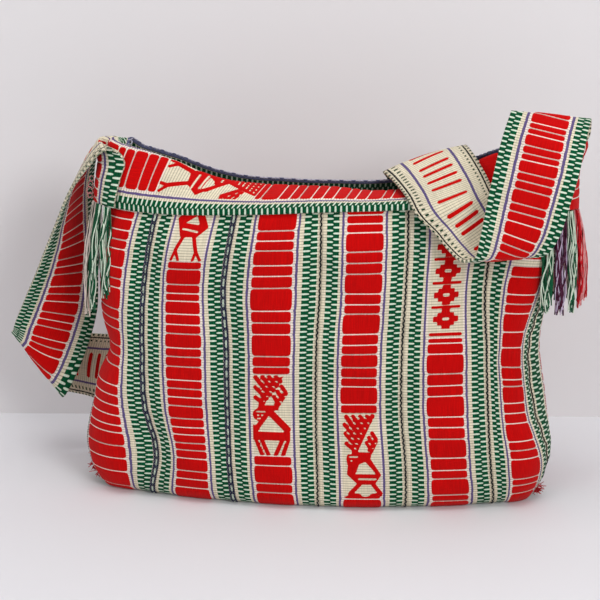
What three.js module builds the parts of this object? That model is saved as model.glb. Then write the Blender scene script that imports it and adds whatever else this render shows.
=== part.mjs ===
import * as THREE from 'three';

// A shoulder bag sewn from woven belts: six belts run down the front, under the base and
// up the back, a seventh goes round the mouth and an eighth is the strap.
// Millimetres, +Z up, +X to the right and -Y to the front.

// Woven cloth
const BELT_WIDTH = 75;
const BELT_COUNT = 6;
const STRAP_WIDTH = 70;
const CLOTH = 2.4;
const CLEARANCE = 0.35;

// Joints between belts: a line of stitching, and the cloth puffed up between two of them
const SEAM_WIDTH = 2.4;
const SEAM_SINK = 0.3;
const SEAM_GAP = 0.75;
const BELT_PUFF = 3.5;
const GATHER_PUFF = 3;
const GATHER_DEPTH = 34;

// Raised bars of the red middle field, and the plain borders beside it
const BORDER = 22;
const STRAP_BORDER = 20;
const BAR_WIDE = 13;
const BAR_PAIR = 14.2;
const BAR_LINE = 1.2;
const BAR_RELIEF = 0.8;

// Filled body
const SEAM_HEIGHT = 262;
const BASE_ROLL = 13;
const FRONT_RUN = 275;
const BASE_RUN = 80;
const BACK_RUN = 245;
const TOP_TUCK = 3.5;
const HEM = 5.5;
const CORNER_ROLL = 0.25;

// Mouth: the collar belt and its rolled rim
const ROLL_RADIUS = 5;
const MOUTH_END = 18;
const MOUTH_PINCH = 5;
const MOUTH_LEFT = 184;
const MOUTH_RIGHT = 213;
const RIM_BULGE = 3;
const EDGING_RADIUS = 1.6;

// Strap ends and their tassels
const STRAP_TAIL = 1.5;
const TASSEL_LENGTH = 96;
const TASSEL_RADIUS = 3.2;
const TASSEL_SIDES = 6;
const TASSEL_GAP = 3.5;

// Outline of the body at shares of the seam height: the share of the belts' width that the
// half girth takes up, the shift of its middle to the right, the radius of the round ends,
// and how far the front and the back swell beyond those ends.
const BODY_LEVELS = [
  { at: 0.00, girth: 0.936, shift: -3.5, end: 22, front: 34, back: 34 },
  { at: 0.17, girth: 1.010, shift: -2.0, end: 34, front: 24, back: 28 },
  { at: 0.36, girth: 0.977, shift: -1.5, end: 38, front: 20, back: 30 },
  { at: 0.57, girth: 0.950, shift: -1.0, end: 38, front: 20, back: 30 },
  { at: 0.76, girth: 0.955, shift: 3.5, end: 34, front: 20, back: 24 },
  { at: 0.92, girth: 0.957, shift: 9.0, end: 28, front: 20, back: 16 },
  { at: 1.03, girth: 0.947, shift: 12.5, end: 22, front: 19, back: 12 },
  { at: 1.15, girth: 0.935, shift: 14.5, end: 18, front: 12, back: 8 },
];

// How far each seam of the front strays to the right of its even place, in belts, at shares
// of the seam height. The first and last are the side seams, which the back shares.
const DRIFT_LEVELS = [0, 0.17, 0.36, 0.57, 0.76, 1];
const FRONT_DRIFT = [
  [0.00, -0.10, -0.10, -0.10, -0.05, 0.00],
  [-0.05, 0.17, -0.02, -0.09, -0.11, -0.08],
  [0.04, 0.05, 0.00, -0.04, -0.13, -0.12],
  [0.11, 0.07, 0.05, 0.05, 0.02, -0.09],
  [0.20, 0.08, 0.05, 0.07, 0.03, -0.07],
  [0.30, 0.05, 0.06, 0.07, -0.04, -0.08],
  [0.00, -0.18, -0.35, -0.35, -0.20, 0.00],
];

// Heights along the collar, from the left end to the right end of the mouth: its lower edge
// above or below the seam height, and its rim above the seam height.
const SEAM_RISE = {
  front: [2, -3.5, -2, 2, 5, 8, 0],
  back: [2, -20, -34, -38, -34, -18, 0],
};
const RIM_RISE = {
  front: [52, 46, 36, 23, 18.5, 17.5, 17, 14.5, 19, 33, 47, 54, 57],
  back: [52, 47.5, 38, 27, 21, 21, 22, 21, 24, 35, 48, 54, 57],
};

// Hollows pressed into the filled body: place in belts round from the left side, height as a
// share of the seam height, depth, and spread in belts and in share of height.
const HOLLOWS = [
  { belt: 0.15, at: 0.51, depth: 11, wide: 0.5, tall: 0.075 },
  { belt: 5.35, at: 0.52, depth: 3, wide: 0.35, tall: 0.06 },
  { belt: 1.0, at: 0.2, depth: 4, wide: 0.25, tall: 0.1 },
];

// Strap, free part: pairs of edge points and how far its middle bows out between them.
// x is measured from the left or the right end of the mouth, z from the seam height.
const STRAP_FROM_LEFT = [
  { front: [20, -32, 37], back: [20, 35, 37], bow: [-30, 0, 0] },
  { front: [14, -28, 46], back: [12, 32, 50], bow: [-23, 0, 4] },
  { front: [6, -28, 48], back: [-2, 32, 57], bow: [-11, 0, 6] },
  { front: [-3, -27, 44], back: [-13, 35, 49], bow: [-6, 0, 4] },
  { front: [-13, -25, 35], back: [-21, 39, 34], bow: [-5, 0, 2] },
  { front: [-31, -20, 12], back: [-27, 47, 9], bow: [-5, 0, 0] },
  { front: [-48, -10, -21], back: [-29, 56, -24], bow: [-3, 0, 0] },
  { front: [-61, 0, -46], back: [-29, 60, -57], bow: [0, 0, 0] },
  { front: [-73, 8, -70], back: [-29, 58, -90], bow: [0, 0, 0] },
  { front: [-87, 18, -96], back: [-30, 54, -117], bow: [0, 0, 0] },
  { front: [-103, 31, -127], back: [-44, 51, -163], bow: [0, 0, 0] },
  { front: [-104, 33, -131], back: [-62, 51, -199], bow: [0, 0, 0] },
  { front: [-107, 38, -134], back: [-66, 56, -203], bow: [0, 0, 0] },
  { front: [-103, 44, -131], back: [-63, 62, -200], bow: [0, 0, 0] },
  { front: [-82, 55, -136], back: [-51, 66, -203], bow: [0, 0, 0] },
  { front: [-27, 74, -145], back: [-29, 76, -212], bow: [0, 0, 0] },
  { front: [64, 81, -145], back: [64, 81, -214], bow: [0, 0, 0] },
  { front: [164, 84, -144], back: [164, 84, -214], bow: [0, 0, 0] },
];
const STRAP_FROM_RIGHT = [
  { front: [-153, 83, -142], back: [-153, 83, -212], bow: [0, 0, 0] },
  { front: [-81, 80, -142], back: [-101, 81, -213], bow: [0, 0, 0] },
  { front: [-23, 72, -142], back: [-73, 76, -214], bow: [0, 0, 0] },
  { front: [-19, 77, -144], back: [-69, 81, -217], bow: [0, 0, 0] },
  { front: [-23, 83, -141], back: [-73, 87, -213], bow: [0, 0, 0] },
  { front: [-34, 82, -115], back: [-100, 84, -138], bow: [0, 0, 0] },
  { front: [-60, 70, -40], back: [-126, 72, -63], bow: [0, 0, 0] },
  { front: [-79, 46, 18], back: [-145, 44, -5], bow: [0, 0, 0] },
  { front: [-88, 24, 42], back: [-156, 22, 21], bow: [0, 0, 3] },
  { front: [-88, 6, 52], back: [-158, 3, 28], bow: [0, 0, 3] },
  { front: [-83, -8, 49], back: [-150, -14, 25], bow: [0, 0, 2] },
  { front: [-72, -32, 35], back: [-137, -39, 15], bow: [0, -2, 0] },
  { front: [-64, -50, 21], back: [-128, -58, 4], bow: [0, -4, 0] },
  { front: [-54, -58, 4], back: [-114, -62, -9], bow: [0, -2, 0] },
  { front: [-42, -66, -12], back: [-102, -68, -22], bow: [0, 0, 0] },
  { front: [-32, -76, -23], back: [-91, -78, -29], bow: [0, 0, 0] },
  { front: [-22, -87, -19], back: [-80, -88, -24], bow: [0, 0, 0] },
  { front: [-13, -90, -4], back: [-76, -90, -6], bow: [0, 0, 0] },
  { front: [-6, -85, 19], back: [-72, -85, 17], bow: [0, 0, 0] },
  { front: [1, -76, 43], back: [-67, -77, 42], bow: [0, 0, 0] },
  { front: [6, -62, 64], back: [-61, -63, 67], bow: [0, 0, 0] },
  { front: [10, -49, 78], back: [-56, -50, 81], bow: [0, 0, 0] },
  { front: [12, -41, 82], back: [-53, -42, 88], bow: [0, 0, 0] },
  { front: [13, -33, 77], back: [-52, -32, 84], bow: [0, 0, 0] },
  { front: [12, -34, 68], back: [-48, -13, 80], bow: [6, -2, 2] },
  { front: [5, -35, 59], back: [-42, 9, 76], bow: [17, -2, 5] },
  { front: [-7, -35, 47], back: [-32, 30, 62], bow: [30, 0, 4] },
  { front: [-22, -34, 37], back: [-23, 34, 42], bow: [32, 0, 0] },
];

// Colours of the cloths and threads
const COLOURS = {
  belt: 0xc4161c,
  strap: 0xc4161c,
  seam: 0x1b2233,
  edging: 0x39405a,
  tassel: [0x0f5a38, 0xe4dcc8, 0x0f5a38, 0x5e4b86, 0xb4141c],
};

const mix = (a, b, t) => a + (b - a) * t;
const clamp = (value, low, high) => Math.min(Math.max(value, low), high);
const smoothStep = (t) => {
  const k = clamp(t, 0, 1);
  return k * k * (3 - 2 * k);
};

// Smooth curve through values at rising places
function through(places, values, place) {
  const last = places.length - 1;
  let i = 0;
  while (i < last - 1 && place > places[i + 1]) i += 1;
  const slope = (k) => {
    const low = Math.max(k - 1, 0);
    const high = Math.min(k + 1, last);
    return (values[high] - values[low]) / (places[high] - places[low]);
  };
  const span = places[i + 1] - places[i];
  const t = clamp((place - places[i]) / span, 0, 1);
  const t2 = t * t;
  const t3 = t2 * t;
  return (2 * t3 - 3 * t2 + 1) * values[i] + (t3 - 2 * t2 + t) * span * slope(i)
    + (3 * t2 - 2 * t3) * values[i + 1] + (t3 - t2) * span * slope(i + 1);
}

const LEVEL_PLACES = BODY_LEVELS.map((level) => level.at);
const level = (key, z) => through(LEVEL_PLACES, BODY_LEVELS.map((row) => row[key]), z / SEAM_HEIGHT);

const evenPlaces = (count) => Array.from({ length: count }, (_, i) => i * BELT_COUNT / (count - 1));
const riseAt = (rises, belt) => through(evenPlaces(rises.length), rises, belt);

// Place of a point of the belts, counted round the bag: 0 at the left side seam, rising
// over the front to BELT_COUNT at the right side seam and over the back to twice that.
const ROUND = 2 * BELT_COUNT;
const wrap = (place) => ((place % ROUND) + ROUND) % ROUND;
const isFront = (place) => wrap(place) <= BELT_COUNT;
const beltFrom = (place) => (isFront(place) ? wrap(place) : ROUND - wrap(place));

const seamHeight = (place) => {
  const rises = isFront(place) ? SEAM_RISE.front : SEAM_RISE.back;
  return SEAM_HEIGHT + riseAt(rises, beltFrom(place));
};
const rimHeight = (place) => {
  const rises = isFront(place) ? RIM_RISE.front : RIM_RISE.back;
  return SEAM_HEIGHT + riseAt(rises, beltFrom(place));
};

// Sideways stray of a place between two seams
function drift(place, z) {
  const belt = beltFrom(place);
  const left = Math.min(Math.floor(belt), BELT_COUNT - 1);
  const at = z / SEAM_HEIGHT;
  const seamDrift = (seam) => {
    const row = FRONT_DRIFT[Math.round(seam * (FRONT_DRIFT.length - 1) / BELT_COUNT)];
    const front = through(DRIFT_LEVELS, row, clamp(at, 0, 1));
    if (isFront(place)) return front;
    const side = seam === 0 || seam === BELT_COUNT;
    return side ? -front : 0;
  };
  return mix(seamDrift(left), seamDrift(left + 1), belt - left);
}

// A stadium with swollen sides: the point at a distance along its half girth, from the left
// end over the front, or over the back when front is false. A distance short of either end
// carries on round it to the other side.
function stadium(distance, shape, front) {
  const { girth, shift, end } = shape;
  const half = (girth - Math.PI * end) / 2 + end;
  const quarter = Math.PI / 2 * end;
  const rest = girth - distance;
  let x = distance - quarter - (half - end);
  let depth = end;
  if (distance < quarter) {
    x = -(half - end) - end * Math.cos(distance / end);
    depth = end * Math.sin(distance / end);
  } else if (rest < quarter) {
    x = half - end + end * Math.cos(rest / end);
    depth = end * Math.sin(rest / end);
  }
  const beyond = distance < 0 || rest < 0;
  const swell = front !== beyond ? shape.front : shape.back;
  depth += (beyond ? -1 : 1) * swell * Math.max(1 - (x / half) ** 2, 0);
  return new THREE.Vector2(x + shift, front ? -depth : depth);
}

function bodyShape(z) {
  return {
    girth: level('girth', z) * BELT_COUNT * BELT_WIDTH,
    shift: level('shift', z),
    end: level('end', z),
    front: level('front', z),
    back: level('back', z),
  };
}

// Outline of the body with no puff: the point and its outward normal in the plane
const NUDGE = 0.5;
function outline(place, z) {
  const shape = bodyShape(z);
  const front = isFront(place);
  const belt = beltFrom(place) + drift(place, z);
  const distance = belt / BELT_COUNT * shape.girth;
  const point = stadium(distance, shape, front);
  const ahead = stadium(distance + NUDGE, shape, front);
  const behind = stadium(distance - NUDGE, shape, front);
  const along = ahead.sub(behind).normalize();
  const normal = front ? new THREE.Vector2(along.y, -along.x) : new THREE.Vector2(-along.y, along.x);
  return { point, normal };
}

// Outward puff of the cloth between two seams, more of it just under the collar
function puff(place, z) {
  const across = beltFrom(place) % 1;
  const crown = 1 - Math.abs(2 * across - 1) ** 2.5;
  const fromTop = seamHeight(place) - z;
  const gather = GATHER_PUFF * smoothStep(fromTop / GATHER_DEPTH) * smoothStep(2 - fromTop / GATHER_DEPTH);
  const base = smoothStep(z / (2 * BASE_ROLL));
  const top = smoothStep(fromTop / GATHER_DEPTH + 0.1);
  return crown * (BELT_PUFF * top + gather) * base;
}

function hollow(place, z) {
  const at = z / SEAM_HEIGHT;
  return HOLLOWS.reduce((sum, pit) => {
    const away = wrap(place - pit.belt + BELT_COUNT) - BELT_COUNT;
    return sum - pit.depth * Math.exp(-((away / pit.wide) ** 2) - ((at - pit.at) / pit.tall) ** 2);
  }, 0);
}

// Side wall of the body at a height, drawn in by the roll of the cloth under the base. The
// roll is smaller at the two ends, where the corners stand out as ears.
function wallPoint(place, z, tuck = 0) {
  const { point, normal } = outline(place, z);
  const push = puff(place, z) + hollow(place, z) - tuck * mix(1, CORNER_ROLL, normal.x ** 2);
  return new THREE.Vector3(point.x + normal.x * push, point.y + normal.y * push, z);
}

// Point of a belt's outer face at a length along it, from its front top edge to its back one
const ROLL_RUN = BASE_ROLL * Math.PI / 2;
const LOOP_RUN = FRONT_RUN + BASE_RUN + BACK_RUN;
const WALL_RUN = FRONT_RUN - ROLL_RUN;
const BACK_START = FRONT_RUN + BASE_RUN;

function wallAlong(place, fromTop, run) {
  const top = seamHeight(place) + TOP_TUCK;
  if (fromTop <= run) return wallPoint(place, mix(top, BASE_ROLL, fromTop / run));
  const turn = (fromTop - run) / BASE_ROLL;
  return wallPoint(place, BASE_ROLL * (1 - Math.sin(turn)), BASE_ROLL * (1 - Math.cos(turn)));
}

function beltPoint(belt, length) {
  const backPlace = ROUND - belt;
  if (length <= FRONT_RUN) return wallAlong(belt, length, WALL_RUN);
  if (length >= BACK_START) return wallAlong(backPlace, LOOP_RUN - length, BACK_RUN - ROLL_RUN);
  const front = wallAlong(belt, FRONT_RUN, WALL_RUN);
  const back = wallAlong(backPlace, BACK_RUN, BACK_RUN - ROLL_RUN);
  return front.lerp(back, (length - FRONT_RUN) / BASE_RUN);
}

// Unit normal of a surface of two values, from small steps either way
function normalOf(surface, u, v, stepU, stepV) {
  const alongU = surface(u + stepU, v).sub(surface(u - stepU, v));
  const alongV = surface(u, v + stepV).sub(surface(u, v - stepV));
  return alongU.cross(alongV).normalize();
}

// A closed piece of cloth between two faces. Each face is a grid of points, and the edges of
// the two are sewn together, whatever their counts. A ring has no ends along its rows.
class ClothMesh {
  constructor() {
    this.points = [];
    this.triangles = [];
  }

  grid(rows, columns, pointAt) {
    return rows.map((row) => columns.map((column) => {
      this.points.push(pointAt(row, column));
      return this.points.length - 1;
    }));
  }

  face(ids, ring, flip) {
    const count = ring ? ids.length : ids.length - 1;
    for (let i = 0; i < count; i += 1) {
      const next = (i + 1) % ids.length;
      for (let j = 0; j < ids[i].length - 1; j += 1) {
        const [a, b, c, d] = [ids[i][j], ids[i][j + 1], ids[next][j + 1], ids[next][j]];
        this.triangle(a, b, c, flip);
        this.triangle(a, c, d, flip);
      }
    }
  }

  triangle(a, b, c, flip) {
    this.triangles.push(flip ? [a, c, b] : [a, b, c]);
  }

  // Sews two rows of points that run the same way, each with its rising places
  sew(first, firstPlaces, second, secondPlaces, flip) {
    let i = 0;
    let j = 0;
    while (i < first.length - 1 || j < second.length - 1) {
      const stepFirst = j === second.length - 1
        || (i < first.length - 1 && firstPlaces[i + 1] <= secondPlaces[j + 1]);
      if (stepFirst) {
        this.triangle(first[i], first[i + 1], second[j], flip);
        i += 1;
      } else {
        this.triangle(first[i], second[j + 1], second[j], flip);
        j += 1;
      }
    }
  }

  geometry() {
    const geometry = new THREE.BufferGeometry();
    const flat = this.points.flatMap((point) => point.toArray());
    geometry.setAttribute('position', new THREE.Float32BufferAttribute(flat, 3));
    const inward = this.volume() < 0;
    geometry.setIndex(this.triangles.flatMap(([a, b, c]) => (inward ? [a, c, b] : [a, b, c])));
    geometry.computeVertexNormals();
    return geometry;
  }

  volume() {
    return this.triangles.reduce((sum, [a, b, c]) => {
      const across = new THREE.Vector3().crossVectors(this.points[b], this.points[c]);
      return sum + this.points[a].dot(across) / 6;
    }, 0);
  }
}

const closeRing = (ids, places, span) => [[...ids, ids[0]], [...places, places[0] + span]];

// Cloth from its outer face, its inner face and the rows and columns that each is drawn with
function clothGeometry({ rows, columns, innerRows, innerColumns, outer, inner, ringSpan = 0 }) {
  const mesh = new ClothMesh();
  const ring = ringSpan > 0;
  const outside = mesh.grid(rows, columns, outer);
  const inside = mesh.grid(innerRows, innerColumns, inner);
  mesh.face(outside, ring, false);
  mesh.face(inside, ring, true);
  const edge = (ids, column) => ids.map((row) => row.at(column));
  [[0, false], [-1, true]].forEach(([column, flip]) => {
    let first = [edge(outside, column), rows];
    let second = [edge(inside, column), innerRows];
    if (ring) {
      first = closeRing(...first, ringSpan);
      second = closeRing(...second, ringSpan);
    }
    mesh.sew(...first, ...second, flip);
  });
  if (!ring) {
    mesh.sew(outside[0], columns, inside[0], innerColumns, true);
    mesh.sew(outside.at(-1), columns, inside.at(-1), innerColumns, false);
  }
  return mesh.geometry();
}

// Rows along a belt: a low row at each white line and a raised one in the middle of each bar
function barRows(start, end) {
  const bars = [BAR_WIDE + BAR_LINE, BAR_PAIR + BAR_LINE];
  const rows = [{ at: start, raised: 0 }];
  let at = start;
  for (let i = 0; at + bars[i % 2] < end; i += 1) {
    const bar = bars[i % 2];
    rows.push({ at: at + bar / 2, raised: 1 }, { at: at + bar, raised: 0 });
    at += bar;
  }
  const rest = end - at;
  if (rest > BAR_WIDE / 2) rows.push({ at: at + rest / 2, raised: 1 });
  else rows.pop();
  rows.push({ at: end, raised: 0 });
  return rows;
}

const evenRows = (start, end, count) => Array.from({ length: count + 1 }, (_, i) => mix(start, end, i / count));

// Columns across a belt: its edges, the edges of the raised field and its middle
const ACROSS = [0, BORDER / BELT_WIDTH, 0.5, 1 - BORDER / BELT_WIDTH, 1];
const INNER_ACROSS = [0, 0.5, 1];
const INNER_ROLL_STEPS = 2;
const ROLL_STEPS = 3;
const INNER_STEP = 15;

const PLACE_STEP = 0.01;
function beltNormal(place, length) {
  const at = clamp(place, PLACE_STEP, BELT_COUNT - PLACE_STEP);
  return normalOf(beltPoint, at, length, PLACE_STEP, NUDGE).negate();
}

function offsetFrom(surface, normal, u, v, distance) {
  return surface(u, v).addScaledVector(normal(u, v), distance);
}

function bodyBelt(index) {
  const margin = (SEAM_WIDTH / 2 + SEAM_GAP) / BELT_WIDTH;
  const placeAt = (across) => mix(index + margin, index + 1 - margin, across);
  const wallRows = barRows(0, WALL_RUN);
  const frontRoll = evenRows(WALL_RUN, FRONT_RUN, ROLL_STEPS).slice(1);
  const backRoll = evenRows(BACK_START, BACK_START + ROLL_RUN, ROLL_STEPS);
  const backRows = barRows(BACK_START + ROLL_RUN, LOOP_RUN).slice(1);
  const flat = (at) => ({ at, raised: 0 });
  const rows = [...wallRows, ...frontRoll.map(flat), ...backRoll.map(flat), ...backRows];
  const raised = new Map(rows.map((row) => [row.at, row.raised]));
  const innerRows = [
    ...evenRows(0, WALL_RUN, Math.round(WALL_RUN / INNER_STEP)),
    ...evenRows(WALL_RUN, FRONT_RUN, INNER_ROLL_STEPS).slice(1),
    ...evenRows(BACK_START, BACK_START + ROLL_RUN, INNER_ROLL_STEPS),
    ...evenRows(BACK_START + ROLL_RUN, LOOP_RUN, Math.round((BACK_RUN - ROLL_RUN) / INNER_STEP)).slice(1),
  ];
  return clothGeometry({
    rows: rows.map((row) => row.at),
    columns: ACROSS,
    innerRows,
    innerColumns: INNER_ACROSS,
    outer: (at, across) => {
      const relief = across > 0 && across < 1 ? raised.get(at) * BAR_RELIEF : 0;
      return offsetFrom(beltPoint, beltNormal, placeAt(across), at, relief);
    },
    inner: (at, across) => offsetFrom(beltPoint, beltNormal, placeAt(across), at, -CLOTH),
  });
}

// Stitching in the joint between two belts, a little below their faces
const SEAM_STEP = 14;
function joint(seam) {
  const half = SEAM_WIDTH / 2 / BELT_WIDTH;
  const rows = [
    ...evenRows(0, WALL_RUN, Math.round(WALL_RUN / SEAM_STEP)),
    ...evenRows(WALL_RUN, FRONT_RUN, ROLL_STEPS).slice(1),
    ...evenRows(BACK_START, BACK_START + ROLL_RUN, ROLL_STEPS),
    ...evenRows(BACK_START + ROLL_RUN, LOOP_RUN, Math.round((BACK_RUN - ROLL_RUN) / SEAM_STEP)).slice(1),
  ];
  const columns = [seam - half, seam + half];
  return clothGeometry({
    rows,
    columns,
    innerRows: rows,
    innerColumns: columns,
    outer: (at, place) => offsetFrom(beltPoint, beltNormal, place, at, -SEAM_SINK),
    inner: (at, place) => offsetFrom(beltPoint, beltNormal, place, at, -CLOTH),
  });
}

// Stitching up a side, where the front and back edges of one belt meet
function sideJoint(seam) {
  const half = SEAM_WIDTH / 2 / BELT_WIDTH;
  const top = seamHeight(seam) + TOP_TUCK;
  const rows = evenRows(BASE_ROLL, top, Math.round(top / SEAM_STEP));
  const columns = [seam - half, seam + half];
  const normal = (place, z) => {
    const flat = outline(place, z).normal;
    return new THREE.Vector3(flat.x, flat.y, 0);
  };
  const face = (depth) => (z, place) => offsetFrom(wallPoint, normal, place, z, -depth);
  return clothGeometry({
    rows, columns, innerRows: rows, innerColumns: columns, outer: face(SEAM_SINK), inner: face(CLOTH),
  });
}

// Mouth of the bag, where the collar starts to roll inward
function rimPoint(place) {
  const girth = mouthGirth();
  const shape = {
    girth,
    shift: (MOUTH_RIGHT - MOUTH_LEFT) / 2,
    end: MOUTH_END,
    front: -MOUTH_PINCH,
    back: -MOUTH_PINCH,
  };
  const front = isFront(place);
  const distance = beltFrom(place) / BELT_COUNT * girth;
  const point = stadium(distance, shape, front);
  return new THREE.Vector3(point.x, point.y, rimHeight(place));
}

function mouthGirth() {
  return MOUTH_LEFT + MOUTH_RIGHT - 2 * MOUTH_END + Math.PI * MOUTH_END;
}

function collarFoot(place) {
  const z = seamHeight(place);
  const { point, normal } = outline(place, z);
  const out = CLOTH + CLEARANCE + BAR_RELIEF;
  return new THREE.Vector3(point.x + normal.x * out, point.y + normal.y * out, z);
}

// Outer face of the collar at a place, by parts: a hem that overlaps the body, then up to
// the rim by part 1, round its roll by part 2, and down inside to its free edge at part 3
const HEM_PART = 0.1;
function collarFrame(place) {
  const foot = collarFoot(place);
  const knee = foot.clone();
  knee.z += HEM;
  const up = rimPoint(place).sub(knee);
  const rise = Math.min(up.length(), BELT_WIDTH - HEM - 2 * CLOTH);
  up.normalize();
  const normal = outline(place, seamHeight(place)).normal;
  const inward = new THREE.Vector3(-normal.x, -normal.y, 0);
  inward.addScaledVector(up, -inward.dot(up)).normalize();
  const spare = BELT_WIDTH - HEM - rise;
  const fullTurn = Math.acos(clamp(-up.z, -1, 1));
  const turn = Math.min(fullTurn, (spare - CLOTH) / ROLL_RADIUS);
  const flap = spare - ROLL_RADIUS * turn;
  return { foot, knee, up, rise, inward, turn, flap };
}

function collarPoint(place, part) {
  const { foot, knee, up, rise, inward, turn, flap } = collarFrame(place);
  if (part <= HEM_PART) return foot.lerp(knee, part / HEM_PART);
  if (part <= 1) {
    const share = (part - HEM_PART) / (1 - HEM_PART);
    const bulge = RIM_BULGE * Math.abs(inward.y) * Math.sin(Math.PI * share);
    return knee.addScaledVector(up, rise * share).addScaledVector(inward, -bulge);
  }
  const angle = Math.min(part - 1, 1) * turn;
  const point = knee.addScaledVector(up, rise + ROLL_RADIUS * Math.sin(angle));
  point.addScaledVector(inward, ROLL_RADIUS * (1 - Math.cos(angle)));
  if (part <= 2) return point;
  point.addScaledVector(up, Math.cos(turn) * flap * (part - 2));
  return point.addScaledVector(inward, Math.sin(turn) * flap * (part - 2));
}

const NORMAL_STEP = 0.02;
function collarNormal(place, part) {
  const at = clamp(part, NORMAL_STEP, 3 - NORMAL_STEP);
  return normalOf(collarPoint, place, at, NORMAL_STEP, NORMAL_STEP);
}

// The collar's rows: up its outside, then round the roll and down the inside
const COLLAR_BARS = 52;
const COLLAR_END = 0.6;
const COLLAR_END_STEPS = 7;
const COLLAR_SIDE_STEPS = 20;
function collarRound() {
  const ends = [0, BELT_COUNT, ROUND];
  return ends.slice(0, -1).flatMap((end, i) => [
    ...evenRows(end, end + COLLAR_END, COLLAR_END_STEPS).slice(0, -1),
    ...evenRows(end + COLLAR_END, ends[i + 1] - COLLAR_END, COLLAR_SIDE_STEPS).slice(0, -1),
    ...evenRows(ends[i + 1] - COLLAR_END, ends[i + 1], COLLAR_END_STEPS).slice(0, -1),
  ]);
}

const COLLAR_PARTS = [0, HEM_PART, 0.5, 1, 1.35, 1.7, 2, 3];
const COLLAR_INNER_PARTS = [0, HEM_PART, 0.5, 1, 1.5, 2, 3];
const COLLAR_FIELD = { start: 0.3, end: 1.5 };
function collar() {
  const field = (part) => part > COLLAR_FIELD.start && part < COLLAR_FIELD.end;
  const places = evenRows(0, ROUND, 2 * COLLAR_BARS).slice(0, -1);
  const innerPlaces = collarRound();
  return clothGeometry({
    rows: places,
    columns: COLLAR_PARTS,
    innerRows: innerPlaces,
    innerColumns: COLLAR_INNER_PARTS,
    ringSpan: ROUND,
    outer: (place, part) => {
      const raised = places.indexOf(place) % 2 === 1 && field(part) ? BAR_RELIEF : 0;
      return offsetFrom(collarPoint, collarNormal, place, part, raised);
    },
    inner: (place, part) => offsetFrom(collarPoint, collarNormal, place, part, -CLOTH),
  });
}

// Crochet edging round the collar's free edge
const EDGING_STEPS = 60;
const EDGING_SIDES = 4;
function edging() {
  const places = evenRows(0, ROUND, EDGING_STEPS).slice(0, -1);
  const sides = evenRows(0, 2 * Math.PI, EDGING_SIDES);
  const mesh = new ClothMesh();
  const rings = places.map((place) => {
    const edge = collarPoint(place, 3);
    const normal = collarNormal(place, 3);
    const down = edge.clone().sub(collarPoint(place, 3 - NORMAL_STEP)).normalize();
    const centre = edge.addScaledVector(normal, -CLOTH / 2);
    centre.addScaledVector(down, 2 * CLEARANCE + EDGING_RADIUS);
    return sides.slice(0, -1).map((angle) => {
      const point = centre.clone().addScaledVector(normal, EDGING_RADIUS * Math.sin(angle));
      mesh.points.push(point.addScaledVector(down, EDGING_RADIUS * Math.cos(angle)));
      return mesh.points.length - 1;
    });
  });
  mesh.face(rings.map((ring) => [...ring, ring[0]]), true, false);
  return mesh.geometry();
}

// Wall of the collar carried on above its rim, with a gap off its outer face
function collarWall(place, z, gap) {
  const foot = collarPoint(place, HEM_PART);
  const rim = collarPoint(place, 1);
  const share = (z - foot.z) / (rim.z - foot.z);
  const part = mix(HEM_PART, 1, clamp(share, 0, 1));
  const point = share < 0 || share > 1 ? foot.lerp(rim, Math.max(share, 0)) : collarPoint(place, part);
  const flat = outline(place, seamHeight(place)).normal;
  point.z = z;
  return point.addScaledVector(new THREE.Vector3(flat.x, flat.y, 0), gap);
}

// Strap stations in place: first from the left end of the mouth, then from the right end
const toPoint = ([x, y, z], end) => new THREE.Vector3(end + x, y, SEAM_HEIGHT + z);
const STATIONS = [
  ...STRAP_FROM_LEFT.map((row) => ({ ...row, end: -MOUTH_LEFT })),
  ...STRAP_FROM_RIGHT.map((row) => ({ ...row, end: MOUTH_RIGHT })),
].map(({ front, back, bow, end }) => ({
  front: toPoint(front, end),
  back: toPoint(back, end),
  bow: new THREE.Vector3(...bow),
}));
const LAST_STATION = STATIONS.length - 1;
const curveOf = (key) => new THREE.CatmullRomCurve3(STATIONS.map((row) => row[key]), false, 'centripetal');
const FRONT_EDGE = curveOf('front');
const BACK_EDGE = curveOf('back');
const BOW = curveOf('bow');

// Sewn ends of the strap, wrapped round the ends of the collar. Stations carry on past the
// first and the last for them, SEWN_STEPS to the strap's own end beside the collar's hem.
const SEWN_STEPS = 4;
const SEWN_SAG = 2.4;
const SEWN_GAP = CLEARANCE + CLOTH / 2 + BAR_RELIEF + SEWN_SAG;
const SEWN_BLEND = 1.2;
const endStation = (right) => (right ? LAST_STATION : 0);
const sewnTop = (right) => STATIONS[endStation(right)].front.clone().lerp(STATIONS[endStation(right)].back, 0.5).z;

function sewnPlace(right, across) {
  const girth = bodyShape(SEAM_HEIGHT).girth / BELT_COUNT;
  const round = (0.5 - across) * STRAP_WIDTH / girth;
  return right ? BELT_COUNT - round : round;
}

function sewnPoint(station, across) {
  const right = station > LAST_STATION / 2;
  const past = right ? station - LAST_STATION : -station;
  const place = sewnPlace(right, across);
  const z = mix(sewnTop(right), seamHeight(place) + STRAP_TAIL, past / SEWN_STEPS);
  return collarWall(place, z, SEWN_GAP);
}

function freePoint(station, across) {
  const at = clamp(station / LAST_STATION, 0, 1);
  const front = FRONT_EDGE.getPoint(at);
  const back = BACK_EDGE.getPoint(at);
  const bow = BOW.getPoint(at).multiplyScalar(4 * across * (1 - across));
  const point = front.lerp(back, across).add(bow);
  const past = Math.max(-station, station - LAST_STATION, 0);
  point.z -= past * (sewnTop(station > 0) - SEAM_HEIGHT) / SEWN_STEPS;
  return point;
}

// Middle of the strap's cloth, by station and by share of its width
function strapPoint(station, across) {
  const fromEnd = Math.min(station, LAST_STATION - station);
  const free = smoothStep((fromEnd + SEWN_BLEND) / (2 * SEWN_BLEND));
  if (free === 0) return sewnPoint(station, across);
  if (free === 1) return freePoint(station, across);
  return sewnPoint(station, across).lerp(freePoint(station, across), free);
}

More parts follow.
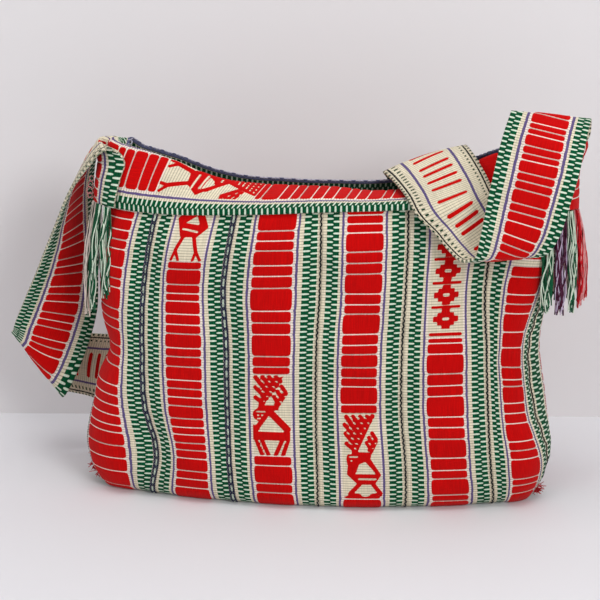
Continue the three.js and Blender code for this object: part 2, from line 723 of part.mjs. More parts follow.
function strapNormal(station, across) {
  const at = clamp(across, NORMAL_STEP, 1 - NORMAL_STEP);
  return normalOf(strapPoint, station, at, NORMAL_STEP, NORMAL_STEP);
}

// Stations at even lengths along the strap's middle
const STRAP_SAMPLES = 12;
const STRAP_INNER_ACROSS = [0, 0.25, 0.5, 0.75, 1];
function strapLengths() {
  const start = -SEWN_STEPS;
  const end = LAST_STATION + SEWN_STEPS;
  const count = Math.round((end - start) * STRAP_SAMPLES);
  const stations = evenRows(start, end, count);
  const lengths = [0];
  let last = strapPoint(stations[0], 0.5);
  stations.slice(1).forEach((station) => {
    const point = strapPoint(station, 0.5);
    lengths.push(lengths.at(-1) + point.distanceTo(last));
    last = point;
  });
  return { stations, lengths };
}

function stationAt({ stations, lengths }, length) {
  let i = 1;
  while (i < lengths.length - 1 && lengths[i] < length) i += 1;
  return mix(stations[i - 1], stations[i], (length - lengths[i - 1]) / (lengths[i] - lengths[i - 1]));
}

function strap() {
  const measured = strapLengths();
  const total = measured.lengths.at(-1);
  const rows = barRows(0, total);
  const raised = new Map(rows.map((row) => [row.at, row.raised]));
  const edge = STRAP_BORDER / STRAP_WIDTH;
  const columns = [0, edge, 0.5, 1 - edge, 1];
  const innerRows = rows.map((row) => row.at).filter((_, i) => i % 2 === 0);
  if (innerRows.at(-1) !== total) innerRows.push(total);
  const face = (at, across, side, relief) => {
    const station = stationAt(measured, at);
    return offsetFrom(strapPoint, strapNormal, station, across, side * (CLOTH / 2 + relief));
  };
  return clothGeometry({
    rows: rows.map((row) => row.at),
    columns,
    innerRows,
    innerColumns: STRAP_INNER_ACROSS,
    outer: (at, across) => face(at, across, 1, across > 0 && across < 1 ? raised.get(at) * BAR_RELIEF : 0),
    inner: (at, across) => face(at, across, -1, 0),
  });
}

// One lock of loose warp threads, hanging from an end of the strap
const TASSEL_STEPS = 4;
const TASSELS = {
  left: [
    { across: 0.1, out: 5, fall: 0.8, colour: 0 },
    { across: 0.24, out: 9, fall: 0.95, colour: 1 },
    { across: 0.38, out: 11, fall: 1.1, colour: 0 },
    { across: 0.54, out: 9, fall: 0.62, colour: 3 },
    { across: 0.74, out: 7, fall: 0.9, colour: 4 },
  ],
  right: [
    { across: 0.06, out: 3, fall: 1.02, colour: 1 },
    { across: 0.17, out: 5, fall: 1.04, colour: 0 },
    { across: 0.28, out: 8, fall: 1.0, colour: 3 },
    { across: 0.39, out: 12, fall: 0.96, colour: 0 },
    { across: 0.5, out: 16, fall: 0.9, colour: 4 },
    { across: 0.61, out: 14, fall: 0.86, colour: 4 },
    { across: 0.74, out: 10, fall: 0.92, colour: 1 },
    { across: 0.88, out: 6, fall: 0.9, colour: 0 },
  ],
};

function tassel({ across, out, fall }, right) {
  const station = right ? LAST_STATION + SEWN_STEPS : -SEWN_STEPS;
  const top = strapPoint(station, across);
  const place = sewnPlace(right, across);
  const normal = strapNormal(station, across);
  normal.z = 0;
  normal.normalize();
  const sideways = new THREE.Vector3(-normal.y, normal.x, 0);
  const mesh = new ClothMesh();
  const length = TASSEL_LENGTH * fall;
  const shares = evenRows(0, 1, TASSEL_STEPS);
  const angles = evenRows(0, 2 * Math.PI, TASSEL_SIDES).slice(0, -1);
  const rings = shares.map((share) => {
    const centre = top.clone().addScaledVector(normal, out * Math.sin(share * Math.PI / 2));
    centre.z -= 2 * CLEARANCE + length * share;
    const radius = TASSEL_RADIUS * mix(0.5, 1, Math.sin(Math.PI * Math.min(share + 0.1, 1)));
    const wall = wallPoint(place, centre.z);
    const off = centre.clone().sub(wall).dot(normal);
    centre.addScaledVector(normal, Math.max(radius + TASSEL_GAP - off, 0));
    return angles.map((angle) => {
      const point = centre.clone().addScaledVector(normal, radius * Math.cos(angle));
      mesh.points.push(point.addScaledVector(sideways, radius * Math.sin(angle)));
      return mesh.points.length - 1;
    });
  });
  mesh.face(rings.map((ring) => [...ring, ring[0]]), false, false);
  const foot = rings.at(-1);
  rings[0].slice(1, -1).forEach((id, i) => mesh.triangle(rings[0][0], rings[0][i + 2], id, false));
  foot.slice(1, -1).forEach((id, i) => mesh.triangle(foot[0], id, foot[i + 2], false));
  return mesh.geometry();
}

const bag = new THREE.Group();
function add(name, geometry, colour, roughness = 0.9) {
  const material = new THREE.MeshStandardMaterial({ color: colour, roughness, metalness: 0 });
  const piece = new THREE.Mesh(geometry, material);
  piece.name = name;
  bag.add(piece);
}

for (let i = 0; i < BELT_COUNT; i += 1) add(`belt_${i + 1}`, bodyBelt(i), COLOURS.belt);
for (let seam = 1; seam < BELT_COUNT; seam += 1) add(`joint_${seam}`, joint(seam), COLOURS.seam);
add('side_joint_left', sideJoint(0), COLOURS.seam);
add('side_joint_right', sideJoint(BELT_COUNT), COLOURS.seam);
add('collar', collar(), COLOURS.belt);
add('mouth_edging', edging(), COLOURS.edging);
add('strap', strap(), COLOURS.strap);
['left', 'right'].forEach((side) => {
  TASSELS[side].forEach((lock, i) => {
    add(`${side}_tassel_${i + 1}`, tassel(lock, side === 'right'), COLOURS.tassel[lock.colour]);
  });
});

// The origin is the middle of the bag's base
const box = new THREE.Box3().setFromObject(bag);
bag.position.set(-(box.min.x + box.max.x) / 2, -(box.min.y + box.max.y) / 2, -box.min.z);

export default bag;
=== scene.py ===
import math

import bpy
import numpy as np
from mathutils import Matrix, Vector


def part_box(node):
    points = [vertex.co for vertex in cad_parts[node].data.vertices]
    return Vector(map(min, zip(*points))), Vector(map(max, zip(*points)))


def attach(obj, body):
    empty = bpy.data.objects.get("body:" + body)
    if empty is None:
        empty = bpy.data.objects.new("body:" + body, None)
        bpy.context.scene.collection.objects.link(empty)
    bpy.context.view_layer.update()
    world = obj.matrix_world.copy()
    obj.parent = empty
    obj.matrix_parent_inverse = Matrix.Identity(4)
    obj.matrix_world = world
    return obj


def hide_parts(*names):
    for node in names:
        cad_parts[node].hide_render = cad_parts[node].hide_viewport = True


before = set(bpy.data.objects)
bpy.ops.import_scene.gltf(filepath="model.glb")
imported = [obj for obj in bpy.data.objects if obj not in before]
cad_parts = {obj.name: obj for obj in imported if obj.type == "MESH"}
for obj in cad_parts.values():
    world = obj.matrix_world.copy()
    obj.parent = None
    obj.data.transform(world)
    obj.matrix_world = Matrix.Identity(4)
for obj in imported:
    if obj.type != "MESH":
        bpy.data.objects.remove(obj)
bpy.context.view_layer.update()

# Sizes are in millimetres, and become metres when a mesh is made
MM = 0.001

# Woven cloth
BELT_WIDTH = 75.0
BELT_COUNT = 6
STRAP_WIDTH = 70.0
CLOTH = 2.4
CLEARANCE = 0.35
PICK = 2.3
HALF_PICK = PICK / 2
COLUMN = 1.25

# Joints between belts
SEAM_WIDTH = 2.4
SEAM_GAP = 0.75
BELT_PUFF = 3.5
GATHER_PUFF = 3.0
GATHER_DEPTH = 34.0

# Filled body
SEAM_HEIGHT = 262.0
BASE_ROLL = 13.0
FRONT_RUN = 275.0
BASE_RUN = 80.0
BACK_RUN = 245.0
TOP_TUCK = 3.5
HEM = 5.5
HEM_TURN = 4.2
CORNER_ROLL = 0.25

# Mouth and its collar
ROLL_RADIUS = 5.0
MOUTH_END = 18.0
MOUTH_PINCH = 5.0
MOUTH_LEFT = 184.0
MOUTH_RIGHT = 213.0
RIM_BULGE = 3.0
BAR_RELIEF = 0.8
STAND_TURN = 0.5
STAND_SPREAD = 0.6

# Outline of the body at shares of the seam height
BODY_AT = (0.00, 0.17, 0.36, 0.57, 0.76, 0.92, 1.03, 1.15)
BODY_GIRTH = (0.936, 1.010, 0.977, 0.950, 0.955, 0.957, 0.947, 0.935)
BODY_SHIFT = (-3.5, -2.0, -1.5, -1.0, 3.5, 9.0, 12.5, 14.5)
BODY_END = (22, 34, 38, 38, 34, 28, 22, 18)
BODY_FRONT = (34, 24, 20, 20, 20, 20, 19, 12)
BODY_BACK = (34, 28, 30, 30, 24, 16, 12, 8)

# Sideways stray of the seams, in belts, at shares of the seam height
DRIFT_AT = (0, 0.17, 0.36, 0.57, 0.76, 1)
FRONT_DRIFT = (
    (0.00, -0.10, -0.10, -0.10, -0.05, 0.00),
    (-0.05, 0.17, -0.02, -0.09, -0.11, -0.08),
    (0.04, 0.05, 0.00, -0.04, -0.13, -0.12),
    (0.11, 0.07, 0.05, 0.05, 0.02, -0.09),
    (0.20, 0.08, 0.05, 0.07, 0.03, -0.07),
    (0.30, 0.05, 0.06, 0.07, -0.04, -0.08),
    (0.00, -0.18, -0.35, -0.35, -0.20, 0.00),
)

# Heights along the collar above the seam height: its lower edge and its rim
SEAM_RISE_FRONT = (2, -3.5, -2, 2, 5, 8, 0)
SEAM_RISE_BACK = (2, -20, -34, -38, -34, -18, 0)
RIM_RISE_FRONT = (52, 46, 36, 23, 18.5, 17.5, 17, 14.5, 19, 33, 47, 54, 57)
RIM_RISE_BACK = (52, 47.5, 38, 27, 21, 21, 22, 21, 24, 35, 48, 54, 57)

# Hollows pressed into the body: belt, share of height, depth, spread in belts and in height
HOLLOWS = (
    (0.15, 0.51, 11, 0.5, 0.075),
    (5.35, 0.52, 3, 0.35, 0.06),
    (1.0, 0.2, 4, 0.25, 0.1),
)

# Strap: pairs of edge points and the bow of the cloth between them. x is measured from the
# left or the right end of the mouth and z from the seam height.
STRAP_FROM_LEFT = (
    ((20, -32, 37), (20, 35, 37), (-30, 0, 0)),
    ((14, -28, 47), (12, 32, 46), (-23, 0, 3)),
    ((6, -28, 50), (-2, 32, 51), (-11, 0, 3)),
    ((-3, -27, 46), (-13, 35, 44), (-6, 0, 2)),
    ((-13, -25, 35), (-21, 39, 34), (-5, 0, 2)),
    ((-31, -20, 12), (-27, 47, 9), (-5, 0, 0)),
    ((-48, -10, -21), (-29, 56, -24), (-3, 0, 0)),
    ((-61, 0, -46), (-29, 60, -57), (0, 0, 0)),
    ((-73, 8, -70), (-29, 58, -90), (0, 0, 0)),
    ((-87, 18, -96), (-30, 54, -117), (0, 0, 0)),
    ((-103, 31, -127), (-44, 51, -163), (0, 0, 0)),
    ((-104, 33, -131), (-62, 51, -199), (0, 0, 0)),
    ((-107, 38, -134), (-66, 56, -203), (0, 0, 0)),
    ((-103, 44, -131), (-63, 62, -200), (0, 0, 0)),
    ((-82, 55, -136), (-51, 66, -203), (0, 0, 0)),
    ((-27, 74, -145), (-29, 76, -212), (0, 0, 0)),
    ((64, 81, -145), (64, 81, -214), (0, 0, 0)),
    ((164, 84, -144), (164, 84, -214), (0, 0, 0)),
)
STRAP_FROM_RIGHT = (
    ((-153, 83, -142), (-153, 83, -212), (0, 0, 0)),
    ((-81, 80, -142), (-101, 81, -213), (0, 0, 0)),
    ((-23, 72, -142), (-73, 76, -214), (0, 0, 0)),
    ((-19, 77, -144), (-69, 81, -217), (0, 0, 0)),
    ((-23, 83, -141), (-73, 87, -213), (0, 0, 0)),
    ((-34, 82, -115), (-100, 84, -138), (0, 0, 0)),
    ((-60, 70, -40), (-126, 72, -63), (0, 0, 0)),
    ((-79, 46, 18), (-145, 44, -5), (0, 0, 0)),
    ((-88, 24, 42), (-156, 22, 21), (0, 0, 3)),
    ((-88, 6, 52), (-158, 3, 28), (0, 0, 3)),
    ((-83, -8, 49), (-150, -14, 25), (0, 0, 2)),
    ((-72, -32, 35), (-137, -39, 15), (0, -2, 0)),
    ((-64, -50, 21), (-128, -58, 4), (0, -4, 0)),
    ((-54, -58, 4), (-114, -62, -9), (0, -2, 0)),
    ((-42, -66, -12), (-102, -68, -22), (0, 0, 0)),
    ((-32, -76, -23), (-91, -78, -29), (0, 0, 0)),
    ((-22, -87, -19), (-80, -88, -24), (0, 0, 0)),
    ((-13, -90, -4), (-76, -90, -6), (0, 0, 0)),
    ((-6, -85, 19), (-72, -85, 17), (0, 0, 0)),
    ((1, -76, 43), (-67, -77, 42), (0, 0, 0)),
    ((6, -62, 64), (-61, -63, 67), (0, 0, 0)),
    ((10, -49, 78), (-56, -50, 81), (0, 0, 0)),
    ((12, -41, 82), (-53, -42, 88), (0, 0, 0)),
    ((13, -33, 77), (-52, -32, 84), (0, 0, 0)),
    ((12, -34, 68), (-48, -13, 80), (6, -2, 2)),
    ((5, -35, 59), (-42, 9, 76), (17, -2, 5)),
    ((-7, -35, 47), (-32, 30, 62), (30, 0, 4)),
    ((-22, -34, 37), (-23, 34, 42), (32, 0, 0)),
)
SEWN_STEPS = 4.0
SEWN_SAG = 2.4
SEWN_GAP = CLEARANCE + CLOTH / 2 + BAR_RELIEF + SEWN_SAG
SEWN_BLEND = 1.2
STRAP_TAIL = 1.5

# Photograph: where the camera stands about the bag, before the frame's shift
CAMERA_TARGET = (-17.0, 0.0, 175.5)
CAMERA_AZIMUTH = 5.5
CAMERA_ELEVATION = 15.0
CAMERA_DISTANCE = 1300.0
CAMERA_FOCUS = 1469.0
PHOTO_WIDTH = 600.0
SENSOR = 36.0

# Photograph: where the table meets the wall, at its left and right edge
CREASE_LEFT = (0.0, 413.0)
CREASE_RIGHT = (600.0, 417.0)


def mix(a, b, t):
    return a + (b - a) * t


def smooth_step(t):
    k = np.clip(t, 0.0, 1.0)
    return k * k * (3 - 2 * k)


def through(places, values, at):
    """A smooth curve through values at rising places."""
    places = np.asarray(places, float)
    values = np.asarray(values, float)
    last = len(places) - 1
    at = np.asarray(at, float)
    i = np.clip(np.searchsorted(places, at, side="left") - 1, 0, last - 1)
    low = np.maximum(np.arange(last + 1) - 1, 0)
    high = np.minimum(np.arange(last + 1) + 1, last)
    slope = (values[high] - values[low]) / (places[high] - places[low])
    span = places[i + 1] - places[i]
    t = np.clip((at - places[i]) / span, 0, 1)
    t2 = t * t
    t3 = t2 * t
    start = (2 * t3 - 3 * t2 + 1) * values[i] + (t3 - 2 * t2 + t) * span * slope[i]
    return start + (3 * t2 - 2 * t3) * values[i + 1] + (t3 - t2) * span * slope[i + 1]


def level(values, z):
    return through(BODY_AT, values, z / SEAM_HEIGHT)


def rise_at(rises, belt):
    return through(np.linspace(0, BELT_COUNT, len(rises)), rises, belt)


# Place of a point counted round the bag, from the left side over the front to the right
# side at BELT_COUNT, and over the back to ROUND
ROUND = 2 * BELT_COUNT


def wrap(place):
    return np.mod(place, ROUND)


def is_front(place):
    return wrap(place) <= BELT_COUNT


def belt_from(place):
    return np.where(is_front(place), wrap(place), ROUND - wrap(place))


def seam_height(place):
    belt = belt_from(place)
    front = rise_at(SEAM_RISE_FRONT, belt)
    back = rise_at(SEAM_RISE_BACK, belt)
    return SEAM_HEIGHT + np.where(is_front(place), front, back)


def rim_height(place):
    belt = belt_from(place)
    front = rise_at(RIM_RISE_FRONT, belt)
    back = rise_at(RIM_RISE_BACK, belt)
    return SEAM_HEIGHT + np.where(is_front(place), front, back)


def drift(place, z):
    """Sideways stray of a place between two seams."""
    belt = belt_from(place)
    left = np.minimum(np.floor(belt), BELT_COUNT - 1).astype(int)
    at = np.clip(z / SEAM_HEIGHT, 0, 1)
    front = is_front(place)
    rows = np.stack([through(DRIFT_AT, row, at) for row in FRONT_DRIFT])

    def seam_drift(seam):
        value = np.take_along_axis(rows, seam[None], 0)[0]
        side = (seam == 0) | (seam == BELT_COUNT)
        return np.where(front, value, np.where(side, -value, 0.0))

    return mix(seam_drift(left), seam_drift(left + 1), belt - left)


def stadium(distance, girth, shift, end, swell_front, swell_back, front):
    """Point of a swollen stadium at a distance along its half girth from the left end."""
    half = (girth - math.pi * end) / 2 + end
    quarter = math.pi / 2 * end
    rest = girth - distance
    x = distance - quarter - (half - end)
    depth = np.broadcast_to(end, x.shape).copy()
    near = distance < quarter
    far = ~near & (rest < quarter)
    x = np.where(near, -(half - end) - end * np.cos(distance / end), x)
    depth = np.where(near, end * np.sin(distance / end), depth)
    x = np.where(far, half - end + end * np.cos(rest / end), x)
    depth = np.where(far, end * np.sin(rest / end), depth)
    beyond = (distance < 0) | (rest < 0)
    swell = np.where(front != beyond, swell_front, swell_back)
    depth = depth + np.where(beyond, -1, 1) * swell * np.maximum(1 - (x / half) ** 2, 0)
    return np.stack([x + shift, np.where(front, -depth, depth)], -1)


NUDGE = 0.5


def outline(place, z):
    """Point and outward normal of the body with no puff, in the plane."""
    place, z = np.broadcast_arrays(np.asarray(place, float), np.asarray(z, float))
    front = is_front(place)
    belt = belt_from(place) + drift(place, z)
    girth = level(BODY_GIRTH, z) * BELT_COUNT * BELT_WIDTH
    distance = belt / BELT_COUNT * girth
    shape = (
        girth, level(BODY_SHIFT, z), level(BODY_END, z), level(BODY_FRONT, z), level(BODY_BACK, z), front,
    )
    point = stadium(distance, *shape)
    along = stadium(distance + NUDGE, *shape) - stadium(distance - NUDGE, *shape)
    along /= np.linalg.norm(along, axis=-1, keepdims=True)
    turn = np.where(front, 1, -1)
    normal = np.stack([along[..., 1] * turn, -along[..., 0] * turn], -1)
    return point, normal


CROWN_POWER = 2.5
PUFF_AT_TOP = 0.1


def puff(place, z):
    across = belt_from(place) % 1
    crown = 1 - np.abs(2 * across - 1) ** CROWN_POWER
    from_top = seam_height(place) - z
    gather = GATHER_PUFF * smooth_step(from_top / GATHER_DEPTH) * smooth_step(2 - from_top / GATHER_DEPTH)
    base = smooth_step(z / (2 * BASE_ROLL))
    top = smooth_step(from_top / GATHER_DEPTH + PUFF_AT_TOP)
    return crown * (BELT_PUFF * top + gather) * base


def hollow(place, z):
    total = np.zeros(np.broadcast(place, z).shape)
    for belt, at, depth, wide, tall in HOLLOWS:
        away = wrap(place - belt + BELT_COUNT) - BELT_COUNT
        total -= depth * np.exp(-((away / wide) ** 2) - ((z / SEAM_HEIGHT - at) / tall) ** 2)
    return total


# Soft creases: how high each kind stands, the lengths of its waves, and where all of them fade
PUCKER_HEIGHT = 0.55
PUCKER_REACH = 9
PUCKER_WAVE = 3.4
PUCKER_STRAY = 19
SWELL_HEIGHT = 0.9
SWELL_WAVES = (31, 23)
CREASE_HEIGHT = 0.5
CREASE_WAVE = 11
FOOT_FADE = 30
TOP_FADE = 8


def crumple(place, z):
    """Soft creases of the filled cloth: puckers beside the seams and slow swells."""
    across = belt_from(place) % 1
    edge = np.exp(-np.minimum(across, 1 - across) * BELT_WIDTH / PUCKER_REACH)
    seam = np.round(belt_from(place)) * 1.7
    stray = 2.1 * np.sin(z / PUCKER_STRAY + seam)
    pucker = PUCKER_HEIGHT * np.sin(z / PUCKER_WAVE + seam + stray) * edge
    first, second = SWELL_WAVES
    slow = SWELL_HEIGHT * np.sin(place * 2.3 + z / first) * np.sin(z / second + place * 1.1)
    fold = CREASE_HEIGHT * np.sin(z / CREASE_WAVE + 3 * np.sin(place * 1.9)) * np.sin(place * math.pi) ** 2
    fade = smooth_step(z / FOOT_FADE) * smooth_step((seam_height(place) - z) / TOP_FADE)
    return (pucker + slow + fold) * fade


def wall_point(place, z, tuck=0.0, fine=False):
    place, z, tuck = np.broadcast_arrays(
        np.asarray(place, float), np.asarray(z, float), np.asarray(tuck, float)
    )
    point, normal = outline(place, z)
    push = puff(place, z) + hollow(place, z) - tuck * mix(1, CORNER_ROLL, normal[..., 0] ** 2)
    if fine:
        push = push + crumple(place, z)
    flat = point + normal * push[..., None]
    return np.concatenate([flat, z[..., None]], -1)


ROLL_RUN = BASE_ROLL * math.pi / 2
LOOP_RUN = FRONT_RUN + BASE_RUN + BACK_RUN


def wall_along(place, from_top, run, fine):
    top = seam_height(place) + TOP_TUCK
    z_wall = mix(top, BASE_ROLL, from_top / run)
    turn = np.maximum(from_top - run, 0) / BASE_ROLL
    rolled = from_top > run
    z = np.where(rolled, BASE_ROLL * (1 - np.sin(turn)), z_wall)
    tuck = np.where(rolled, BASE_ROLL * (1 - np.cos(turn)), 0.0)
    return wall_point(place, z, tuck, fine)


def belt_point(belt, length, fine=False):
    """Outer face of a belt at lengths from its front top edge to its back top edge."""
    belt, length = np.broadcast_arrays(np.asarray(belt, float), np.asarray(length, float))
    back_place = ROUND - belt
    front = wall_along(belt, np.minimum(length, FRONT_RUN), FRONT_RUN - ROLL_RUN, fine)
    back = wall_along(back_place, np.minimum(LOOP_RUN - length, BACK_RUN), BACK_RUN - ROLL_RUN, fine)
    share = np.clip((length - FRONT_RUN) / BASE_RUN, 0, 1)[..., None]
    return mix(front, back, share)


def rim_point(place):
    girth = MOUTH_LEFT + MOUTH_RIGHT - 2 * MOUTH_END + math.pi * MOUTH_END
    shift = (MOUTH_RIGHT - MOUTH_LEFT) / 2
    distance = belt_from(place) / BELT_COUNT * girth
    full = np.full(distance.shape, 1.0)
    point = stadium(
        distance, girth * full, shift * full, MOUTH_END * full, -MOUTH_PINCH * full, -MOUTH_PINCH * full,
        is_front(place),
    )
    return np.concatenate([point, rim_height(place)[..., None]], -1)


HEM_PART = 0.1


def unit(vector):
    return vector / np.maximum(np.linalg.norm(vector, axis=-1, keepdims=True), 1e-9)


def standing(place):
    """1 where the collar's free edge stands up, along the back, and 0 where it is rolled in."""
    from_side = np.minimum(wrap(place) - BELT_COUNT, ROUND - wrap(place))
    return smooth_step(from_side / STAND_SPREAD)


def collar_point(place, part):
    """Outer face of the collar: hem to 0.1, up to the rim by 1, round its roll by 2, flap to 3."""
    place, part = np.broadcast_arrays(np.asarray(place, float), np.asarray(part, float))
    stand = standing(place)[..., None]
    out = CLOTH + CLEARANCE + BAR_RELIEF
    normal = outline(place, seam_height(place))[1]
    level_out = np.concatenate([normal, np.zeros(normal.shape[:-1] + (1,))], -1)

    def knee_at(drop):
        foot = wall_point(place, seam_height(place) - drop[..., 0]) + level_out * out
        return foot, foot + np.array([0, 0, HEM])

    def spare_of(knee):
        up = rim_point(place) - knee
        rise = np.minimum(np.linalg.norm(up, axis=-1), BELT_WIDTH - HEM - 2 * CLOTH)[..., None]
        return unit(up), rise, BELT_WIDTH - HEM - rise

    foot, knee = knee_at(np.zeros(stand.shape))
    spare = spare_of(knee)[2]
    foot, knee = knee_at(stand * (spare - STAND_TURN * ROLL_RADIUS))
    up, rise, spare = spare_of(knee)
    inward = unit(-level_out + up * (level_out * up).sum(-1, keepdims=True))
    full_turn = np.arccos(np.clip(-up[..., 2:], -1, 1))
    turn = np.minimum(full_turn, (spare - CLOTH) / ROLL_RADIUS)
    turn = mix(turn, STAND_TURN, stand)
    flap = np.maximum(spare - ROLL_RADIUS * turn, 0) * (1 - stand)
    part = part[..., None]
    share = np.clip((part - HEM_PART) / (1 - HEM_PART), 0, 1)
    bulge = RIM_BULGE * np.abs(inward[..., 1:2]) * np.sin(math.pi * share)
    wall = knee + up * rise * share - inward * bulge
    hem = mix(foot, knee, np.clip(part / HEM_PART, 0, 1))
    angle = np.clip(part - 1, 0, 1) * turn
    roll = knee + up * (rise + ROLL_RADIUS * np.sin(angle)) + inward * ROLL_RADIUS * (1 - np.cos(angle))
    flap_part = np.clip(part - 2, 0, 1)
    roll = roll + (up * np.cos(turn) + inward * np.sin(turn)) * flap * flap_part
    return np.where(part <= HEM_PART, hem, np.where(part <= 1, wall, roll))


def collar_lengths(place):
    """Length of cloth at parts HEM_PART, 1, 2 and 3 of the collar at each place."""
    parts = np.linspace(0, 3, 241)
    points = collar_point(place[:, None], parts[None])
    steps = np.linalg.norm(np.diff(points, axis=1), axis=-1)
    return parts, np.concatenate([np.zeros((len(place), 1)), np.cumsum(steps, 1)], 1)


def collar_wall(place, z, gap):
    foot = collar_point(place, HEM_PART)
    rim = collar_point(place, 1.0)
    share = (z - foot[..., 2]) / (rim[..., 2] - foot[..., 2])
    part = mix(HEM_PART, 1.0, np.clip(share, 0, 1))
    line = mix(foot, rim, np.maximum(share, 0)[..., None])
    outside = ((share < 0) | (share > 1))[..., None]
    point = np.where(outside, line, collar_point(place, part))
    point[..., 2] = z
    normal = outline(place, seam_height(place))[1]
    point[..., :2] += normal * gap
    return point


def catmull_rom(points, at):
    """Centripetal Catmull-Rom curve through points, at values from 0 to the last index."""
    points = np.asarray(points, float)
    last = len(points) - 1
    before = 2 * points[0] - points[1]
    after = 2 * points[-1] - points[-2]
    padded = np.concatenate([[before], points, [after]])
    at = np.clip(at, 0, last)
    i = np.minimum(np.floor(at).astype(int), last - 1)
    t = (at - i)[..., None]
    p0, p1, p2, p3 = (padded[i + k] for k in range(4))

    def spread(a, b):
        return np.maximum(((a - b) ** 2).sum(-1, keepdims=True) ** 0.25, 1e-4)

    d0, d1, d2 = spread(p0, p1), spread(p1, p2), spread(p2, p3)
    d0 = np.where(d0 < 1e-3, d1, d0)
    d2 = np.where(d2 < 1e-3, d1, d2)
    m1 = ((p1 - p0) / d0 - (p2 - p0) / (d0 + d1) + (p2 - p1) / d1) * d1
    m2 = ((p2 - p1) / d1 - (p3 - p1) / (d1 + d2) + (p3 - p2) / d2) * d1
    t2 = t * t
    t3 = t2 * t
    return (2 * t3 - 3 * t2 + 1) * p1 + (t3 - 2 * t2 + t) * m1 + (3 * t2 - 2 * t3) * p2 + (t3 - t2) * m2


def strap_rows():
    rows = [(front, back, bow, -MOUTH_LEFT) for front, back, bow in STRAP_FROM_LEFT]
    rows += [(front, back, bow, MOUTH_RIGHT) for front, back, bow in STRAP_FROM_RIGHT]
    edges = []
    for front, back, bow, end in rows:
        offset = np.array([end, 0, SEAM_HEIGHT])
        edges.append((np.array(front) + offset, np.array(back) + offset, np.array(bow)))
    return [np.array(column, float) for column in zip(*edges)]


FRONT_EDGE, BACK_EDGE, BOW = strap_rows()
LAST_STATION = len(FRONT_EDGE) - 1


def sewn_top(right):
    at = np.where(right, LAST_STATION, 0)
    return (FRONT_EDGE[at, 2] + BACK_EDGE[at, 2]) / 2


def sewn_point(station, across):
    right = station > LAST_STATION / 2
    past = np.where(right, station - LAST_STATION, -station)
    girth = level(BODY_GIRTH, SEAM_HEIGHT) * BELT_WIDTH
    turn = (0.5 - across) * STRAP_WIDTH / girth
    place = np.where(right, BELT_COUNT - turn, turn)
    z = mix(sewn_top(right), seam_height(place) + STRAP_TAIL, past / SEWN_STEPS)
    return collar_wall(place, z, SEWN_GAP)


def free_point(station, across):
    front = catmull_rom(FRONT_EDGE, station)
    back = catmull_rom(BACK_EDGE, station)
    bow = catmull_rom(BOW, station) * (4 * across * (1 - across))[..., None]
    point = mix(front, back, across[..., None]) + bow
    past = np.maximum(np.maximum(-station, station - LAST_STATION), 0)
    point[..., 2] -= past * (sewn_top(station > 0) - SEAM_HEIGHT) / SEWN_STEPS
    return point


def strap_point(station, across):
    """Middle of the strap's cloth, by station and by share of its width."""
    station, across = np.broadcast_arrays(np.asarray(station, float), np.asarray(across, float))
    from_end = np.minimum(station, LAST_STATION - station)
    free = smooth_step((from_end + SEWN_BLEND) / (2 * SEWN_BLEND))[..., None]
    return mix(sewn_point(station, across), free_point(station, across), free)


# Heights of the red bars in half picks: the usual rhythm, and that of the strap
BAR_RHYTHM = (15, 8, 8)
STRAP_RHYTHM = (11, 7, 7)
LINE_HALF = 0.45
BAR_ROUND = 1.8

# Stripes across a belt and across the strap: where the red field lies, and the columns of
# checks, each from the side that its white dashes grow from, with its share of a repeat
FIELD = (22.0, 54.0)
STRAP_FIELD = (18.0, 50.5)
BELT_CHECKS = ((4.2, 9.8, 0.0), (15.2, 9.8, 0.5), (62.0, 68.0, 0.5), (73.4, 68.0, 0.0))
STRAP_CHECKS = ((0.0, 5.6, 0.0), (11.2, 5.6, 0.5), (59.3, 64.8, 0.5), (70.0, 64.8, 0.0))
CHECK_REPEAT = 2 * PICK


def line_places(bars, rhythm, rows):
    """Half picks at which a white line runs: between the bars given, then in the usual rhythm."""
    first, heights = bars
    places = [first]
    for height in heights:
        places.append(places[-1] + height)
    i = 0
    while places[0] > -rhythm[0]:
        places.insert(0, places[0] - rhythm[i % len(rhythm)])
        i += 1
    i = 0
    while places[-1] < rows:
        places.append(places[-1] + rhythm[i % len(rhythm)])
        i += 1
    return np.array(places) * HALF_PICK


FAR_AWAY = 99.0
NO_RED = -4.0


def inside(x, y, points, half):
    """Distance inside a closed outline, or inside a stroke between two points."""
    ends = list(zip(points, points[1:] + points[:1])) if len(points) > 2 else [points]
    away = np.full(x.shape, FAR_AWAY)
    odd = np.zeros(x.shape, bool)
    for (ax, ay), (bx, by) in ends:
        dx, dy = bx - ax, by - ay
        t = np.clip(((x - ax) * dx + (y - ay) * dy) / (dx * dx + dy * dy), 0, 1)
        away = np.minimum(away, np.hypot(x - ax - t * dx, y - ay - t * dy))
        if dy and len(points) > 2:
            odd ^= ((ay > y) != (by > y)) & (x < ax + (y - ay) * dx / dy)
    return np.where(odd, away, -away) + half


def feathers(starts, ends):
    """Dotted lines that split a fan into feathers."""
    return tuple(("dots", 0.75, (start, end)) for start, end in zip(starts, ends))


def fan(half, starts, ends):
    """Red strokes side by side."""
    return tuple(("red", half, (start, end)) for start, end in zip(starts, ends))


